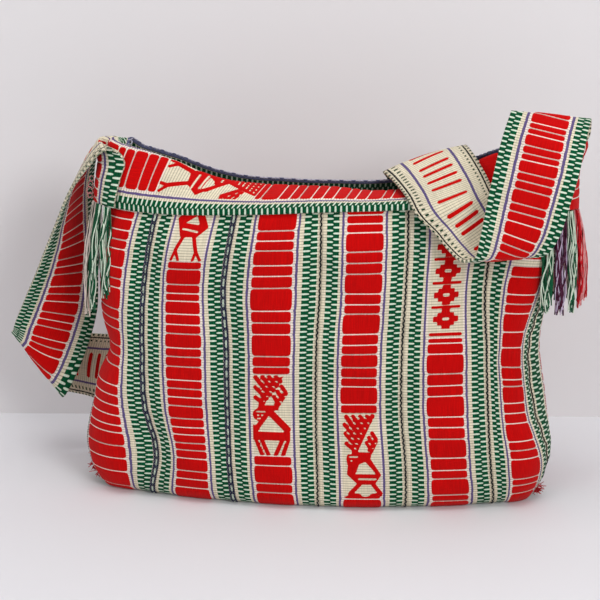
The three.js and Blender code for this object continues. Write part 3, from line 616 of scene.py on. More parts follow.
# Figures, drawn upright: their height, and shapes laid one over the other. A shape is its
# thread, what it is widened by, and its outline or stroke, in millimetres of a 32 mm field.
BIRD = (75, (
    ("red", 0, ((11, 5), (27, 1.2), (10, 27), (6, 21))),
    *fan(2.1, ((2.5, 2.5), (8.5, 2), (14, 2), (20, 2.2), (2.5, 11.5), (2.5, 21)),
         ((15, 18), (18, 14), (21, 10), (24, 6), (12, 21.5), (9, 26))),
    *feathers(((5.5, 2), (11.5, 2), (17.5, 2), (1.5, 7), (1, 16)),
              ((16, 16), (19, 12), (22, 8), (13, 20), (10, 24))),
    ("red", 0, ((27, 12.5), (31, 17), (22, 31), (18, 27))),
    *fan(1.9, ((25, 10.5), (21.5, 15), (18.5, 20)), ((28.5, 16), (25, 21), (22, 26))),
    *feathers(((22.6, 11.5), (19.4, 16.5)), ((28, 19.5), (24.5, 25))),
    ("red", 0, ((5, 26), (9, 26), (10, 28), (22, 28), (22.4, 32.5), (4, 32.5))),
    ("red", 0, ((12, 31), (18, 31), (18, 37), (12, 37))),
    ("red", 0, ((3.5, 31), (12, 31), (11, 37), (8, 43), (3.5, 43), (0.5, 40.5), (-0.5, 37), (0, 34))),
    ("cream", 0.7, ((3, 34.2), (10.5, 34.2))), ("cream", 0.8, ((4, 37.5), (4.6, 37.5))),
    ("cream", 0.8, ((7.6, 37.5), (8.4, 37.5))), ("cream", 0.7, ((4, 40.8), (7, 40.8))),
    ("red", 3.2, ((15.5, 35), (29.5, 50))), ("red", 2.4, ((13, 36), (2, 51))),
    ("cream", 0, ((13.6, 38), (23.2, 50.8), (4.8, 50.8))),
    ("red", 0, ((-0.5, 46), (5.5, 49), (5.5, 53), (-0.5, 53))),
    ("red", 0, ((-0.5, 52.6), (32, 52.6), (32, 60.5), (-0.5, 60.5))),
    ("cream", 0.7, ((5, 52), (24, 52))),
    *fan(1.9, ((2, 60), (7, 60), (30, 60), (25, 60)), ((7.5, 75), (13, 75), (25, 75), (18.5, 75))),
    *feathers(((4.4, 61), (27.6, 61)), ((10.4, 75), (21.6, 75))),
))
WADER = (78, (
    ("red", 0, ((13, 7), (30.5, 2), (13.5, 35), (8, 28))),
    *fan(2.1, ((4.5, 4), (10.5, 4), (17, 4), (23, 4), (28, 4), (3, 11), (3.5, 19), (4, 28)),
         ((16.5, 22), (20, 17), (23, 12), (26, 7.5), (28, 3.5), (14.5, 26.5), (13, 31), (11, 34))),
    *feathers(((7.5, 3), (14, 3), (20, 3), (3, 7), (3, 15), (3.5, 24)),
              ((18, 20), (21, 14.5), (24.5, 10), (15.5, 24.5), (13.5, 29), (12, 33))),
    ("red", 0, ((29, 20.5), (32, 26), (26, 37), (21.5, 34))),
    *fan(1.9, ((27, 18.5), (24, 22.5), (21.8, 27)), ((30, 24), (27, 28.5), (25, 33))),
    *feathers(((24.6, 19.5), (22, 24)), ((29.5, 27.5), (26.6, 32))),
    ("red", 0, ((8, 34), (12, 33), (14.5, 35.8), (25.5, 35.8), (24.5, 41), (8, 41))),
    ("red", 0, ((4, 38), (14.5, 37), (14.5, 43), (10, 50), (6, 51.5), (3.5, 47), (3, 42))),
    ("cream", 0.7, ((6, 40.2), (14, 40.2))), ("cream", 0.8, ((7.2, 44), (7.8, 44))),
    ("cream", 0.8, ((10.6, 44), (11.4, 44))), ("cream", 0.7, ((6.5, 48), (9, 48))),
    ("red", 0, ((16, 38), (22, 38), (33, 56.7), (27, 66), (12.5, 66), (3, 56.7), (4, 48))),
    ("cream", 0, ((19.4, 44.5), (27.4, 54.2), (11.4, 54.2), (14, 47))),
    ("cream", 0.7, ((11, 55.6), (27.5, 55.6))), ("cream", 0.8, ((13.3, 60.8), (28, 60.8))),
    ("red", 2.0, ((13.5, 66), (6, 74.5))), ("red", 2.0, ((26, 66), (32, 74.5))),
    ("red", 1.5, ((5, 75), (14, 76.5))), ("red", 1.3, ((5, 75), (5, 78))),
    ("red", 1.5, ((32, 75), (24, 76.5))), ("red", 1.3, ((32, 75), (32.5, 78))),
))
LEGS = (43, (
    ("red", 0, ((0, 6.9), (5.5, 1.5), (22.5, -1), (32, 14.7), (22.5, 22.5), (6.5, 22.5))),
    ("cream", 0, ((18.3, 4.9), (22.7, 12.7), (8.5, 10.8))),
    ("cream", 0.8, ((7, 15.7), (22.2, 18.2))),
    ("red", 1.8, ((9.5, 22), (5, 33))), ("red", 1.8, ((20, 22), (25, 34.3))),
    ("red", 1.4, ((5, 33), (2, 42))), ("red", 1.4, ((5, 33), (9.2, 42))),
    ("red", 1.4, ((25, 34), (23, 42.5))), ("red", 1.4, ((25, 34), (30.5, 42.5))),
))
COLLAR_BIRD = (88, (
    *fan(1.5, ((30.5, 2.5), (24.5, 2.5)), ((29.5, 9), (28, 9))), ("red", 2.1, ((29, 8), (24, 23))),
    *fan(1.5, ((8.6, 1.5), (1.7, 2.6)), ((7.5, 7), (6, 7.5))), ("red", 2.1, ((7, 7), (12, 24))),
    ("red", 0, ((24.5, 21), (27.5, 26.4), (30.5, 40.8), (26, 47), (14, 50.5), (0.8, 35), (11, 23.5))),
    ("cream", 0.9, ((23, 29.3), (8.2, 28.3))), ("cream", 0.9, ((24.2, 36.4), (8.4, 34.8))),
    ("cream", 0, ((23, 38.5), (16, 47.5), (7.5, 36.8))),
    ("red", 2.6, ((28, 40), (24, 50))), ("red", 2.4, ((8, 42), (19, 53))),
    ("red", 0, ((16, 44), (28, 44), (27, 56), (20, 58), (15, 51))),
    ("cream", 1.2, ((20.5, 49.5), (22.5, 49.5))), ("red", 0.5, ((21, 49.5), (22, 49.5))),
    ("red", 0, ((20, 55), (25, 56), (31.5, 64), (32, 89), (3, 89))),
    *feathers(((24, 61), (22, 62), (21, 64), (20, 66), (19, 69)),
              ((30, 88), (24.5, 89), (18.5, 89), (12.5, 89), (7, 88))),
    ("red", 0, ((-1, 57), (4, 56), (13.5, 68), (9, 76), (-1, 73))),
    ("dots", 0.7, ((0, 61), (9, 72))), ("dots", 0.7, ((0, 68), (6, 75))),
))


def stepped(cx, cy):
    """A stepped lozenge with a small cream heart."""
    layers = []
    for half, tall in ((12, 2.4), (8, 5.4), (4, 8.4)):
        left, right, low, high = cx - half, cx + half, cy - tall, cy + tall
        layers.append(("red", 0, ((left, low), (right, low), (right, high), (left, high))))
    return (*layers, ("cream", 1.3, ((cx - 2, cy), (cx + 2, cy))))


STEPS = (87, (
    *stepped(16, 11), *stepped(16, 31), *stepped(16, 51), *stepped(16, 71),
    *fan(1.2, ((3, 21), (3, 41), (3, 61)), ((29, 21), (29, 41), (29, 61))),
    ("red", 1.4, ((2, 84), (30, 84))),
))
PLAIN_FIELD = (8, ())

# What each belt shows from its front top edge: the first white line and the bars between it and
# the next ones, then panels with a figure, each from a line for a height, all in half picks
BELTS = (
    ((4, (6, 8, 7, 7, 14, 9, 7, 17, 8, 8, 14, 8, 8, 15, 8, 8, 8, 8, 6, 11, 11, 12)), ()),
    ((37, (6, 12, 7, 6, 10, 8, 7, 11, 7, 8, 11, 7, 7, 7, 10, 7, 6, 7, 6, 7, 11, 7, 8)), ((0, 37, LEGS),)),
    ((15, (7, 7, 11, 8, 9, 17, 9, 9, 17, 8, 6, 65, 8, 15, 8)), ((123, 65, BIRD),)),
    ((6, (6, 6, 13, 8, 8, 15, 8, 7, 15, 8, 7, 10, 8, 7, 14, 8, 68)), ((152, 68, WADER),)),
    ((20, (76, 4, 8, 15, 9, 8, 16, 8, 9, 15, 10, 7, 14, 6)), ((20, 76, STEPS),)),
    ((8, (15, 15, 5, 8, 13, 7, 7, 14, 12, 15, 9, 5, 13, 8, 8, 14, 7, 7, 17, 6, 8)), ((38, 5, PLAIN_FIELD),)),
)
COLLAR_BARS = (20, (6, 7, 10, 8, 7, 74, 5, 13, 8, 7, 9, 8, 8, 9, 7, 8, 11, 7))
COLLAR_PANELS = ((58, 74, COLLAR_BIRD),)
STRAP_BARS = (
    903, (8, 9, 9, 14, 12, 8, 7, 15, 9, 7, 6, 8, 6, 7, 10, 7, 6, 10, 6, 6, 9, 5, 6, 9, 5, 5, 9, 6, 5, 9),
)


def draw(figure, x, y, pick):
    """Distance inside the red yarns of a figure."""
    drawn = np.full(x.shape, NO_RED)
    for thread, half, points in figure[1]:
        depth = inside(x, y, points, half)
        if thread == "red":
            drawn = np.maximum(drawn, depth)
        elif thread == "cream":
            drawn = np.minimum(drawn, -depth)
        else:
            drawn = np.where(pick % 2 == 0, np.minimum(drawn, -depth), drawn)
    return drawn


# How a red bar bulges past its field, by its height, and the width that figures are drawn in
BULGE = 1.1
BULGE_TALL = 14
BULGE_MOST = 1.2
BULGE_INSET = 0.5
FIGURE_WIDTH = 32


def motif_of(u, v, field, lines, panels):
    """Distance inside the red yarns at u across and v along the face, and the cream panels."""
    i = np.clip(np.searchsorted(lines, v) - 1, 0, len(lines) - 2)
    low, high = lines[i], lines[i + 1]
    along = np.minimum(v - low, high - v) - LINE_HALF
    share = (v - low) / (high - low)
    tall = np.minimum((high - low) / BULGE_TALL, BULGE_MOST)
    bulge = BULGE * (1 - (2 * share - 1) ** 4) * tall - BULGE_INSET
    side = np.minimum(u - field[0], field[1] - u) + bulge
    round_end = np.hypot(np.minimum(side - BAR_ROUND, 0), np.minimum(along - BAR_ROUND, 0))
    red = np.minimum(np.minimum(side, along), BAR_ROUND - round_end)
    panel = np.zeros(u.shape)
    for first, height, figure in panels:
        begin, length = first * HALF_PICK, height * HALF_PICK
        shown = (v > begin) & (v < begin + length)
        x = (u - field[0]) * FIGURE_WIDTH / (field[1] - field[0])
        y = (v - begin) / length * figure[0]
        red = np.where(shown, draw(figure, x, y, np.floor((v + HALF_PICK / 2) / PICK)), red)
        panel = np.where(shown, 1.0, panel)
        bulge = np.where(shown, 0.0, bulge)
    return red, panel, bulge


# Relief of the face: heights of the plain picks, the checks, the red bars and their fine ribs
PLAIN_RELIEF = 0.13
CHECK_RELIEF = 0.26
BAR_HEIGHT = 0.85
BAR_SHOULDER = 1.6
RIB_RELIEF = 0.05
RIB_WIDTH = 1.3
RED_EDGE = 0.2


def relief_of(u, v, red, checks):
    """Height of the face: picks of the plain ground, dashes of the checks and puffed red bars."""
    ground = PLAIN_RELIEF * np.cos(2 * math.pi * v / PICK)
    for root, tip, shift in checks:
        column = (np.minimum(root, tip) < u) & (u < np.maximum(root, tip))
        check = CHECK_RELIEF * np.cos(2 * math.pi * (v / CHECK_REPEAT + shift))
        ground = np.where(column, check, ground)
    rib = RIB_RELIEF * np.cos(2 * math.pi * u / RIB_WIDTH)
    puffed = BAR_HEIGHT * np.clip(red / BAR_SHOULDER, 0, 1) ** 0.5 + rib
    return np.where(red > -RED_EDGE, np.maximum(puffed, 0.0), ground)


def grid_normals(points):
    along_rows = np.gradient(points, axis=0)
    along_columns = np.gradient(points, axis=1)
    return unit(np.cross(along_rows, along_columns))


def ring_normals(points):
    closed = np.concatenate([points[-2:], points, points[:2]])
    return grid_normals(closed)[2:-2]


def columns_for(width, checks, field):
    """Columns across a belt, close together and lined up with its stripes."""
    stops = sorted({0.0, width, *field, *(place for check in checks for place in check[:2])})
    columns = [0.0]
    for low, high in zip(stops, stops[1:]):
        count = max(round((high - low) / COLUMN), 1)
        columns += list(np.linspace(low, high, count + 1)[1:])
    return np.array(columns)


def sew(first, first_places, second, second_places):
    """Triangles between two rows of points that run the same way."""
    i = j = 0
    faces = []
    while i < len(first) - 1 or j < len(second) - 1:
        done = j == len(second) - 1
        if done or (i < len(first) - 1 and first_places[i + 1] <= second_places[j + 1]):
            faces.append((first[i], first[i + 1], second[j]))
            i += 1
        else:
            faces.append((first[i], second[j + 1], second[j]))
            j += 1
    return faces


def quads(ids, ring):
    rows = np.concatenate([ids, ids[:1]]) if ring else ids
    a, b = rows[:-1, :-1], rows[:-1, 1:]
    c, d = rows[1:, 1:], rows[1:, :-1]
    return np.stack([a, b, c, d], -1).reshape(-1, 4)


def mesh_object(name, points, faces, uv=None, values=None):
    mesh = bpy.data.meshes.new(name)
    placed = np.asarray(points) * MM + SHIFT
    placed[:, 2] = np.maximum(placed[:, 2], 0.0)
    mesh.from_pydata(placed.tolist(), [], [list(face) for face in faces])
    for label, data in (values or {}).items():
        mesh.attributes.new(label, "FLOAT", "POINT").data.foreach_set("value", np.asarray(data, np.float32))
    if uv is not None:
        loops = np.empty(len(mesh.loops), int)
        mesh.loops.foreach_get("vertex_index", loops)
        mesh.uv_layers.new(name="weave").data.foreach_set("uv", uv[loops].astype(np.float32).ravel())
    mesh.polygons.foreach_set("use_smooth", np.ones(len(mesh.polygons), bool))
    mesh.update()
    piece = bpy.data.objects.new(name, mesh)
    bpy.context.scene.collection.objects.link(piece)
    return piece


def cloth(name, rows, columns, face, back, values, back_step, ring=0.0):
    """A closed piece of cloth from the grids of its two faces, and values for each of them."""
    row_step, column_step = back_step
    row_ids = sorted(set(range(0, len(rows), row_step)) | (set() if ring else {len(rows) - 1}))
    column_ids = sorted(set(range(0, len(columns), column_step)) | {len(columns) - 1})
    pick = np.ix_(row_ids, column_ids)
    count = len(rows) * len(columns)
    outer = np.arange(count).reshape(len(rows), len(columns))
    inner = count + np.arange(len(row_ids) * len(column_ids)).reshape(len(row_ids), len(column_ids))
    faces = [ids[::-1] for ids in quads(outer, ring > 0)] + list(quads(inner, ring > 0))
    inner_rows, inner_columns = rows[row_ids], columns[column_ids]
    for side in (0, -1):
        first, first_places = list(outer[:, side]), list(rows)
        second, second_places = list(inner[:, side]), list(inner_rows)
        if ring:
            first, first_places = first + first[:1], first_places + [rows[0] + ring]
            second, second_places = second + second[:1], second_places + [rows[0] + ring]
        sewn = sew(first, first_places, second, second_places)
        faces += sewn if side == -1 else [triangle[::-1] for triangle in sewn]
    if not ring:
        for end in (0, -1):
            sewn = sew(list(outer[end]), list(columns), list(inner[end]), list(inner_columns))
            faces += sewn if end == 0 else [triangle[::-1] for triangle in sewn]
    points = np.concatenate([face.reshape(-1, 3), back[pick].reshape(-1, 3)])
    both = {}
    for label, (on_face, on_back) in values.items():
        both[label] = np.concatenate([on_face.ravel(), on_back[pick].ravel()])
    uv = np.stack([both.pop("u"), both.pop("v")], -1)
    return mesh_object(name, points, faces, uv, both)


# Frame: the formulas stand about the bag's own middle, and what they make is shifted onto the imported model
def frame_shift():
    lo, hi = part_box("belt_3")
    lengths = np.linspace(0, LOOP_RUN, 400)
    margin = (SEAM_WIDTH / 2 + SEAM_GAP) / BELT_WIDTH
    across = np.linspace(2 + margin, 3 - margin, 5)
    points = belt_point(across[None], lengths[:, None]) * MM
    middle = (points.reshape(-1, 3).max(0) + points.reshape(-1, 3).min(0)) / 2
    cad = (np.array(lo) + np.array(hi)) / 2
    return np.array([cad[0] - middle[0], cad[1] - middle[1], 0.0])


SHIFT = frame_shift()


# Colours as they look, turned into the renderer's linear values
def colour(red, green, blue):
    def linear(value):
        value /= 255
        return value / 12.92 if value <= 0.04045 else ((value + 0.055) / 1.055) ** 2.4
    return (linear(red), linear(green), linear(blue), 1.0)


RED = colour(190, 0, 0)
GREEN = colour(0, 80, 46)
GREEN_SHADE = colour(0, 50, 28)
CREAM = colour(222, 212, 186)
WHITE = colour(230, 216, 204)
DASH = colour(206, 220, 200)
PURPLE = colour(94, 80, 130)
NAVY = colour(30, 36, 66)
BLACK = colour(16, 24, 30)
GREY = colour(120, 118, 136)
# Painted shade: a dark brown-grey laid into the grooves between the picks
GROOVE_SHADE = colour(92, 80, 62)


class Graph:
    """Small helper that adds nodes to a material and joins them."""

    def __init__(self, name, roughness=0.9, sheen=0.04):
        self.material = bpy.data.materials.new(name)
        self.material.use_nodes = True
        self.nodes = self.material.node_tree.nodes
        self.links = self.material.node_tree.links
        self.shader = self.nodes["Principled BSDF"]
        self.shader.inputs["Roughness"].default_value = roughness
        self.shader.inputs["Sheen Weight"].default_value = sheen
        self.shader.inputs["Sheen Roughness"].default_value = 0.5
        self.shader.inputs["Specular IOR Level"].default_value = 0.1

    def add(self, kind, inputs=(), **settings):
        node = self.nodes.new(kind)
        for key, value in settings.items():
            setattr(node, key, value)
        for key, value in dict(inputs).items():
            if isinstance(value, bpy.types.NodeSocket):
                self.links.new(value, node.inputs[key])
            else:
                node.inputs[key].default_value = value
        return node

    def math(self, operation, a, b=0.0, c=0.0):
        return self.add("ShaderNodeMath", {0: a, 1: b, 2: c}, operation=operation).outputs[0]

    def times(self, a, b):
        return self.math("MULTIPLY", a, b)

    def plus(self, a, b):
        return self.math("ADD", a, b)

    def minus(self, a, b):
        return self.math("SUBTRACT", a, b)

    def mix(self, factor, a, b):
        node = self.add("ShaderNodeMix", data_type="RGBA")
        for key, value in (("Factor_Float", factor), ("A_Color", a), ("B_Color", b)):
            socket = next(s for s in node.inputs if s.identifier == key)
            if isinstance(value, bpy.types.NodeSocket):
                self.links.new(value, socket)
            else:
                socket.default_value = value
        return next(s for s in node.outputs if s.identifier == "Result_Color")

    def value(self, label):
        return self.add("ShaderNodeAttribute", attribute_name=label).outputs["Fac"]

    def weave(self):
        uv = self.add("ShaderNodeUVMap", uv_map="weave").outputs[0]
        parts = self.add("ShaderNodeSeparateXYZ", {0: uv})
        return parts.outputs[0], parts.outputs[1]

    def bands(self, u, width, stops):
        ramp = self.add("ShaderNodeValToRGB", {0: self.math("DIVIDE", u, width)})
        ramp.color_ramp.interpolation = "CONSTANT"
        elements = ramp.color_ramp.elements
        elements.remove(elements[1])
        for i, (start, tint) in enumerate(stops):
            element = elements[0] if i == 0 else elements.new(start / width)
            element.position = start / width
            element.color = tint
        return ramp.outputs[0]

    def soft_step(self, value, half, low=0.0, high=1.0):
        """Rises from low to high as a value passes nought."""
        inputs = {0: value, 1: -half, 2: half, 3: low, 4: high}
        return self.add("ShaderNodeMapRange", inputs).outputs[0]

    def from_line(self, v, period, shift=0.0):
        """Distance along v from the nearest of the lines that lie a period apart."""
        phase = self.math("FRACT", self.plus(self.math("DIVIDE", v, period), shift + 0.5))
        return self.math("ABSOLUTE", self.times(self.minus(phase, 0.5), period))

    def noise(self, coordinates, scale, detail=2.0):
        return self.add(
            "ShaderNodeTexNoise", {"Vector": coordinates, "Scale": scale, "Detail": detail}
        ).outputs["Fac"]

    def vector(self, x, y, z=0.0):
        return self.add("ShaderNodeCombineXYZ", {0: x, 1: y, 2: z}).outputs[0]

    def shade(self, tint, amount, low, high):
        """The tint made darker or lighter by an amount from 0 to 1."""
        value = self.add(
            "ShaderNodeMapRange", {0: amount, 1: 0.3, 2: 0.7, 3: low, 4: high}
        ).outputs[0]
        return self.add("ShaderNodeHueSaturation", {"Color": tint, "Value": value}).outputs[0]

    def finish(self, tint, height=None, depth=0.0002, strength=0.6):
        self.links.new(tint, self.shader.inputs["Base Color"])
        if height is not None:
            bump = self.add("ShaderNodeBump", {"Height": height, "Distance": depth, "Strength": strength})
            self.links.new(bump.outputs[0], self.shader.inputs["Normal"])
        return self.material


DASH_HALF = 0.74
RIB_GAP = 0.26


def add_checks(graph, tint, u, v, checks, ground, dash, half):
    """Lays columns of checks on a tint: a ground and the dashes that grow into it from one side."""
    for root, tip, shift in checks:
        share = graph.math("DIVIDE", graph.minus(u, root), tip - root)
        past_root, before_tip = graph.math("GREATER_THAN", share, 0), graph.math("LESS_THAN", share, 1)
        column = graph.times(past_root, before_tip)
        taper = graph.math("SQRT", graph.minus(1.0, graph.math("POWER", share, 6.0)))
        room = graph.minus(graph.times(taper, half), graph.from_line(v, CHECK_REPEAT, shift))
        tint = graph.mix(column, tint, graph.mix(graph.soft_step(room, 0.14), ground, dash))
    return tint


def woven(name, width, stops, checks, back_stops, back_checks):
    """Warp-faced cloth: coloured stripes, checks, red bars and figures, and its wrong side."""
    graph = Graph(name)
    u, v = graph.weave()
    fine = graph.noise(graph.vector(graph.times(u, 1.3), graph.times(v, 0.5)), 1.0)
    wander = graph.times(graph.minus(fine, 0.5), 0.9)
    across = graph.plus(u, wander)
    along = graph.plus(v, graph.times(wander, 0.5))
    streak = graph.noise(graph.vector(graph.times(u, 2.4), graph.times(v, 0.22)), 1.0)
    green = graph.mix(graph.soft_step(graph.minus(streak, 0.55), 0.08), GREEN, GREEN_SHADE)
    face = graph.bands(across, width, stops)
    back = graph.bands(across, width, back_stops)
    side = graph.value("wrong_side")
    ground = graph.mix(side, face, back)
    panel = graph.value("panel")
    field = graph.times(panel, graph.math("GREATER_THAN", graph.value("in_field"), 0.5))
    ground = graph.mix(field, ground, CREAM)
    # Painted shade in the grooves between the picks: the ground darkens there towards the groove colour
    rib = graph.soft_step(graph.minus(graph.from_line(v, PICK, 0.5), RIB_GAP), 0.2, 0.6, 0.0)
    ground = graph.mix(rib, ground, GROOVE_SHADE)
    checked = add_checks(graph, ground, across, along, checks, green, DASH, DASH_HALF)
    if back_checks:
        dashed = add_checks(graph, ground, across, along, back_checks, ground, GREEN_SHADE, DASH_HALF)
        checked = graph.mix(side, checked, dashed)
    ground = checked
    soft = graph.plus(graph.value("red"), graph.times(wander, 0.55))
    tint = graph.mix(graph.soft_step(soft, 0.12), ground, RED)
    yarn = graph.noise(graph.vector(graph.times(u, 1.1), graph.times(v, 0.06)), 1.0, 3.0)
    tint = graph.shade(tint, yarn, 0.84, 1.12)
    objects = graph.add("ShaderNodeTexCoord").outputs["Object"]
    tint = graph.shade(tint, graph.noise(objects, 22.0), 0.93, 1.04)
    ridge = graph.math("SINE", graph.times(u, 2 * math.pi / 0.9))
    twist = graph.math("SINE", graph.plus(graph.times(v, 3.4), graph.times(u, 5.0)))
    height = graph.plus(graph.times(ridge, 0.5), graph.times(twist, 0.2))
    height = graph.plus(height, graph.times(fine, 1.4))
    return graph.finish(tint, height, 0.00018, 0.5)


FACE_STOPS = (
    (0, CREAM), (15.2, CREAM), (17.3, PURPLE), (19.6, WHITE), (54, WHITE), (56, PURPLE), (58.3, CREAM),
)
BELT_BACK_STOPS = ((0, CREAM), (17.3, PURPLE), (19.6, CREAM), (56, PURPLE), (58.3, CREAM))
STRAP_STOPS = ((0, CREAM), (13.3, PURPLE), (15.6, WHITE), (53, PURPLE), (55.4, CREAM))
STRAP_BACK_STOPS = (
    (0, CREAM), (2.8, BLACK), (4.3, CREAM), (14.2, PURPLE), (16.2, CREAM), (53.2, PURPLE), (55.3, CREAM),
    (65.6, BLACK), (67.2, CREAM),
)
BACK_DASHES = ((-0.4, 2.2, 0.0), (6.4, 8.2, 0.0), (63.6, 59.8, 0.0), (70.4, 68.0, 0.5))
belt_cloth = woven("belt_cloth", BELT_WIDTH, FACE_STOPS, BELT_CHECKS, BELT_BACK_STOPS, ())
strap_cloth = woven("strap_cloth", STRAP_WIDTH, STRAP_STOPS, STRAP_CHECKS, STRAP_BACK_STOPS, BACK_DASHES)


def face_values(u, v, field, lines, panels):
    red, panel, bulge = motif_of(u, v, field, lines, panels)
    in_field = ((u > field[0] - 1) & (u < field[1] + 1)).astype(float)
    near = np.exp(-np.maximum(np.maximum(field[0] - u, u - field[1]), 0) / 4) * (1 - in_field)
    lean = np.where(u < field[0], 1, -1) * bulge * near
    return red, panel, in_field, lean


BACK_BAR_HALF = 1.7


def back_values(u, v, field, lines):
    """Distance inside the short red bars of the wrong side, where the face has its white lines."""
    i = np.clip(np.searchsorted(lines, v) - 1, 0, len(lines) - 2)
    nearest = np.minimum(v - lines[i], lines[i + 1] - v)
    side = np.minimum(u - field[0] - 2, field[1] - 2 - u)
    return np.minimum(BACK_BAR_HALF - nearest, side)


def dress(name, rows, columns, turned_under, middle, normals, depths, pattern, material, back_step, ring=0.0):
    """One belt's cloth round a grid of points, with its pattern and relief."""
    width, field, checks, lines, panels = pattern
    u = np.broadcast_to(mix(turned_under, width, columns / width)[None], middle.shape[:2]).copy()
    v = np.broadcast_to(rows[:, None], middle.shape[:2]).copy()
    red, panel, in_field, lean = face_values(u, v, field, lines, panels)
    relief = relief_of(u, v, red, checks)
    relief = relief * np.clip(np.minimum(columns, width - columns) / 0.5, 0, 1)[None]
    face = middle + normals * (depths[0] + relief[..., None])
    back = middle - normals * depths[1]
    zeros = np.zeros(u.shape)
    values = {
        "u": (u + lean, u), "v": (v, v), "red": (red, back_values(u, v, field, lines)),
        "panel": (panel, zeros), "in_field": (in_field, zeros), "wrong_side": (zeros, zeros + 1),
    }
    piece = cloth(name, rows, columns, face, back, values, back_step, ring)
    piece.data.materials.append(material)
    return piece


def sewn_in(piece, slot, *nodes):
    """Puts a finished piece in the frame, in place of the nodes it stands for."""
    if nodes:
        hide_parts(*nodes)
    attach(piece, "root")
    return piece


def make_belt(index):
    bars, panels = BELTS[index]
    margin = (SEAM_WIDTH / 2) / BELT_WIDTH
    rows = np.arange(0, LOOP_RUN, HALF_PICK)
    columns = columns_for(BELT_WIDTH, BELT_CHECKS, FIELD)
    places = mix(index + margin, index + 1 - margin, columns / BELT_WIDTH)
    middle = belt_point(places[None], rows[:, None], fine=True)
    lines = line_places(bars, BAR_RHYTHM, len(rows))
    piece = dress(
        f"woven_belt_{index + 1}", rows, columns, 0.0, middle, grid_normals(middle), (0.0, CLOTH),
        (BELT_WIDTH, FIELD, BELT_CHECKS, lines, panels), belt_cloth, (6, 4),
    )
    sewn_in(piece, "woven_cloth", f"belt_{index + 1}")


def make_collar():
    girth = level(BODY_GIRTH, SEAM_HEIGHT) * BELT_WIDTH * ROUND
    count = int(round(girth / CHECK_REPEAT)) * round(CHECK_REPEAT / HALF_PICK)
    rows = np.arange(count) * HALF_PICK
    places = rows / (count * HALF_PICK) * ROUND
    columns = columns_for(BELT_WIDTH, BELT_CHECKS, FIELD)
    parts, lengths = collar_lengths(places)
    at = np.stack([np.interp(columns / BELT_WIDTH * row[-1], row, parts) for row in lengths])
    middle = collar_point(places[:, None], at)
    lines = line_places(COLLAR_BARS, BAR_RHYTHM, count)
    piece = dress(
        "woven_collar", rows, columns, HEM_TURN, middle, ring_normals(middle), (0.0, CLOTH),
        (BELT_WIDTH, FIELD, BELT_CHECKS, lines, COLLAR_PANELS), belt_cloth, (1, 2), ring=count * HALF_PICK,
    )
    sewn_in(piece, "woven_cloth", "collar")


SKEW_ROWS = 22
SKEW_LIMIT = 26.0
SKEW_FADE = 30.0


def strap_lead(points):
    """How far one edge of the strap runs ahead of the other at each row."""
    across = unit(points[:, -1] - points[:, 0])
    along = unit(np.gradient(points[:, points.shape[1] // 2], axis=0))
    lead = np.clip((across * along).sum(-1) * STRAP_WIDTH, -SKEW_LIMIT, SKEW_LIMIT)
    spread = np.hanning(2 * SKEW_ROWS + 1)
    return np.convolve(np.pad(lead, SKEW_ROWS, mode="edge"), spread / spread.sum(), mode="valid")


def strap_grid(columns):
    """Points of the strap's middle in rows a half pick apart that cross it squarely."""
    stations = np.linspace(-SEWN_STEPS, LAST_STATION + SEWN_STEPS, 6000)
    points = strap_point(stations, np.full(stations.shape, 0.5))
    lengths = np.concatenate([[0], np.cumsum(np.linalg.norm(np.diff(points, axis=0), axis=1))])
    rows = np.arange(0, lengths[-1], HALF_PICK)
    share = columns / STRAP_WIDTH
    lead = strap_lead(strap_point(np.interp(rows, lengths, stations)[:, None], share[None]))
    lead = lead * smooth_step(np.minimum(rows, rows[-1] - rows) / SKEW_FADE)
    ahead = lead[:, None] * (share - 0.5)[None]
    return rows, strap_point(np.interp(rows[:, None] - ahead, lengths, stations), share[None])


def make_strap(fringe):
    columns = columns_for(STRAP_WIDTH, STRAP_CHECKS, STRAP_FIELD)
    rows, middle = strap_grid(columns)
    lines = line_places(STRAP_BARS, STRAP_RHYTHM, len(rows))
    half = CLOTH / 2
    piece = dress(
        "woven_strap", rows, columns, 0.0, middle, grid_normals(middle), (half, half),
        (STRAP_WIDTH, STRAP_FIELD, STRAP_CHECKS, lines, ()), strap_cloth, (1, 4),
    )
    sewn_in(piece, "woven_cloth", "strap")


# Yarns: lines of points that a node tree spins into round thread
def node_tree(name, sockets):
    tree = bpy.data.node_groups.new(name, "GeometryNodeTree")
    tree.interface.new_socket("Geometry", in_out="INPUT", socket_type="NodeSocketGeometry")
    for label, kind in sockets:
        tree.interface.new_socket(label, in_out="INPUT", socket_type=kind)
    tree.interface.new_socket("Geometry", in_out="OUTPUT", socket_type="NodeSocketGeometry")
    return tree


def chain(tree, kinds):
    """Adds nodes, each fed by the first output of the one before, and gives them back."""
    made = []
    for kind in kinds:
        node = tree.nodes.new(kind)
        if made:
            tree.links.new(made[-1].outputs[0], node.inputs[0])
        made.append(node)
    return made


def named(tree, label, kind):
    node = tree.nodes.new("GeometryNodeInputNamedAttribute")
    node.data_type = kind
    node.inputs["Name"].default_value = label
    return next(output for output in node.outputs if output.enabled)


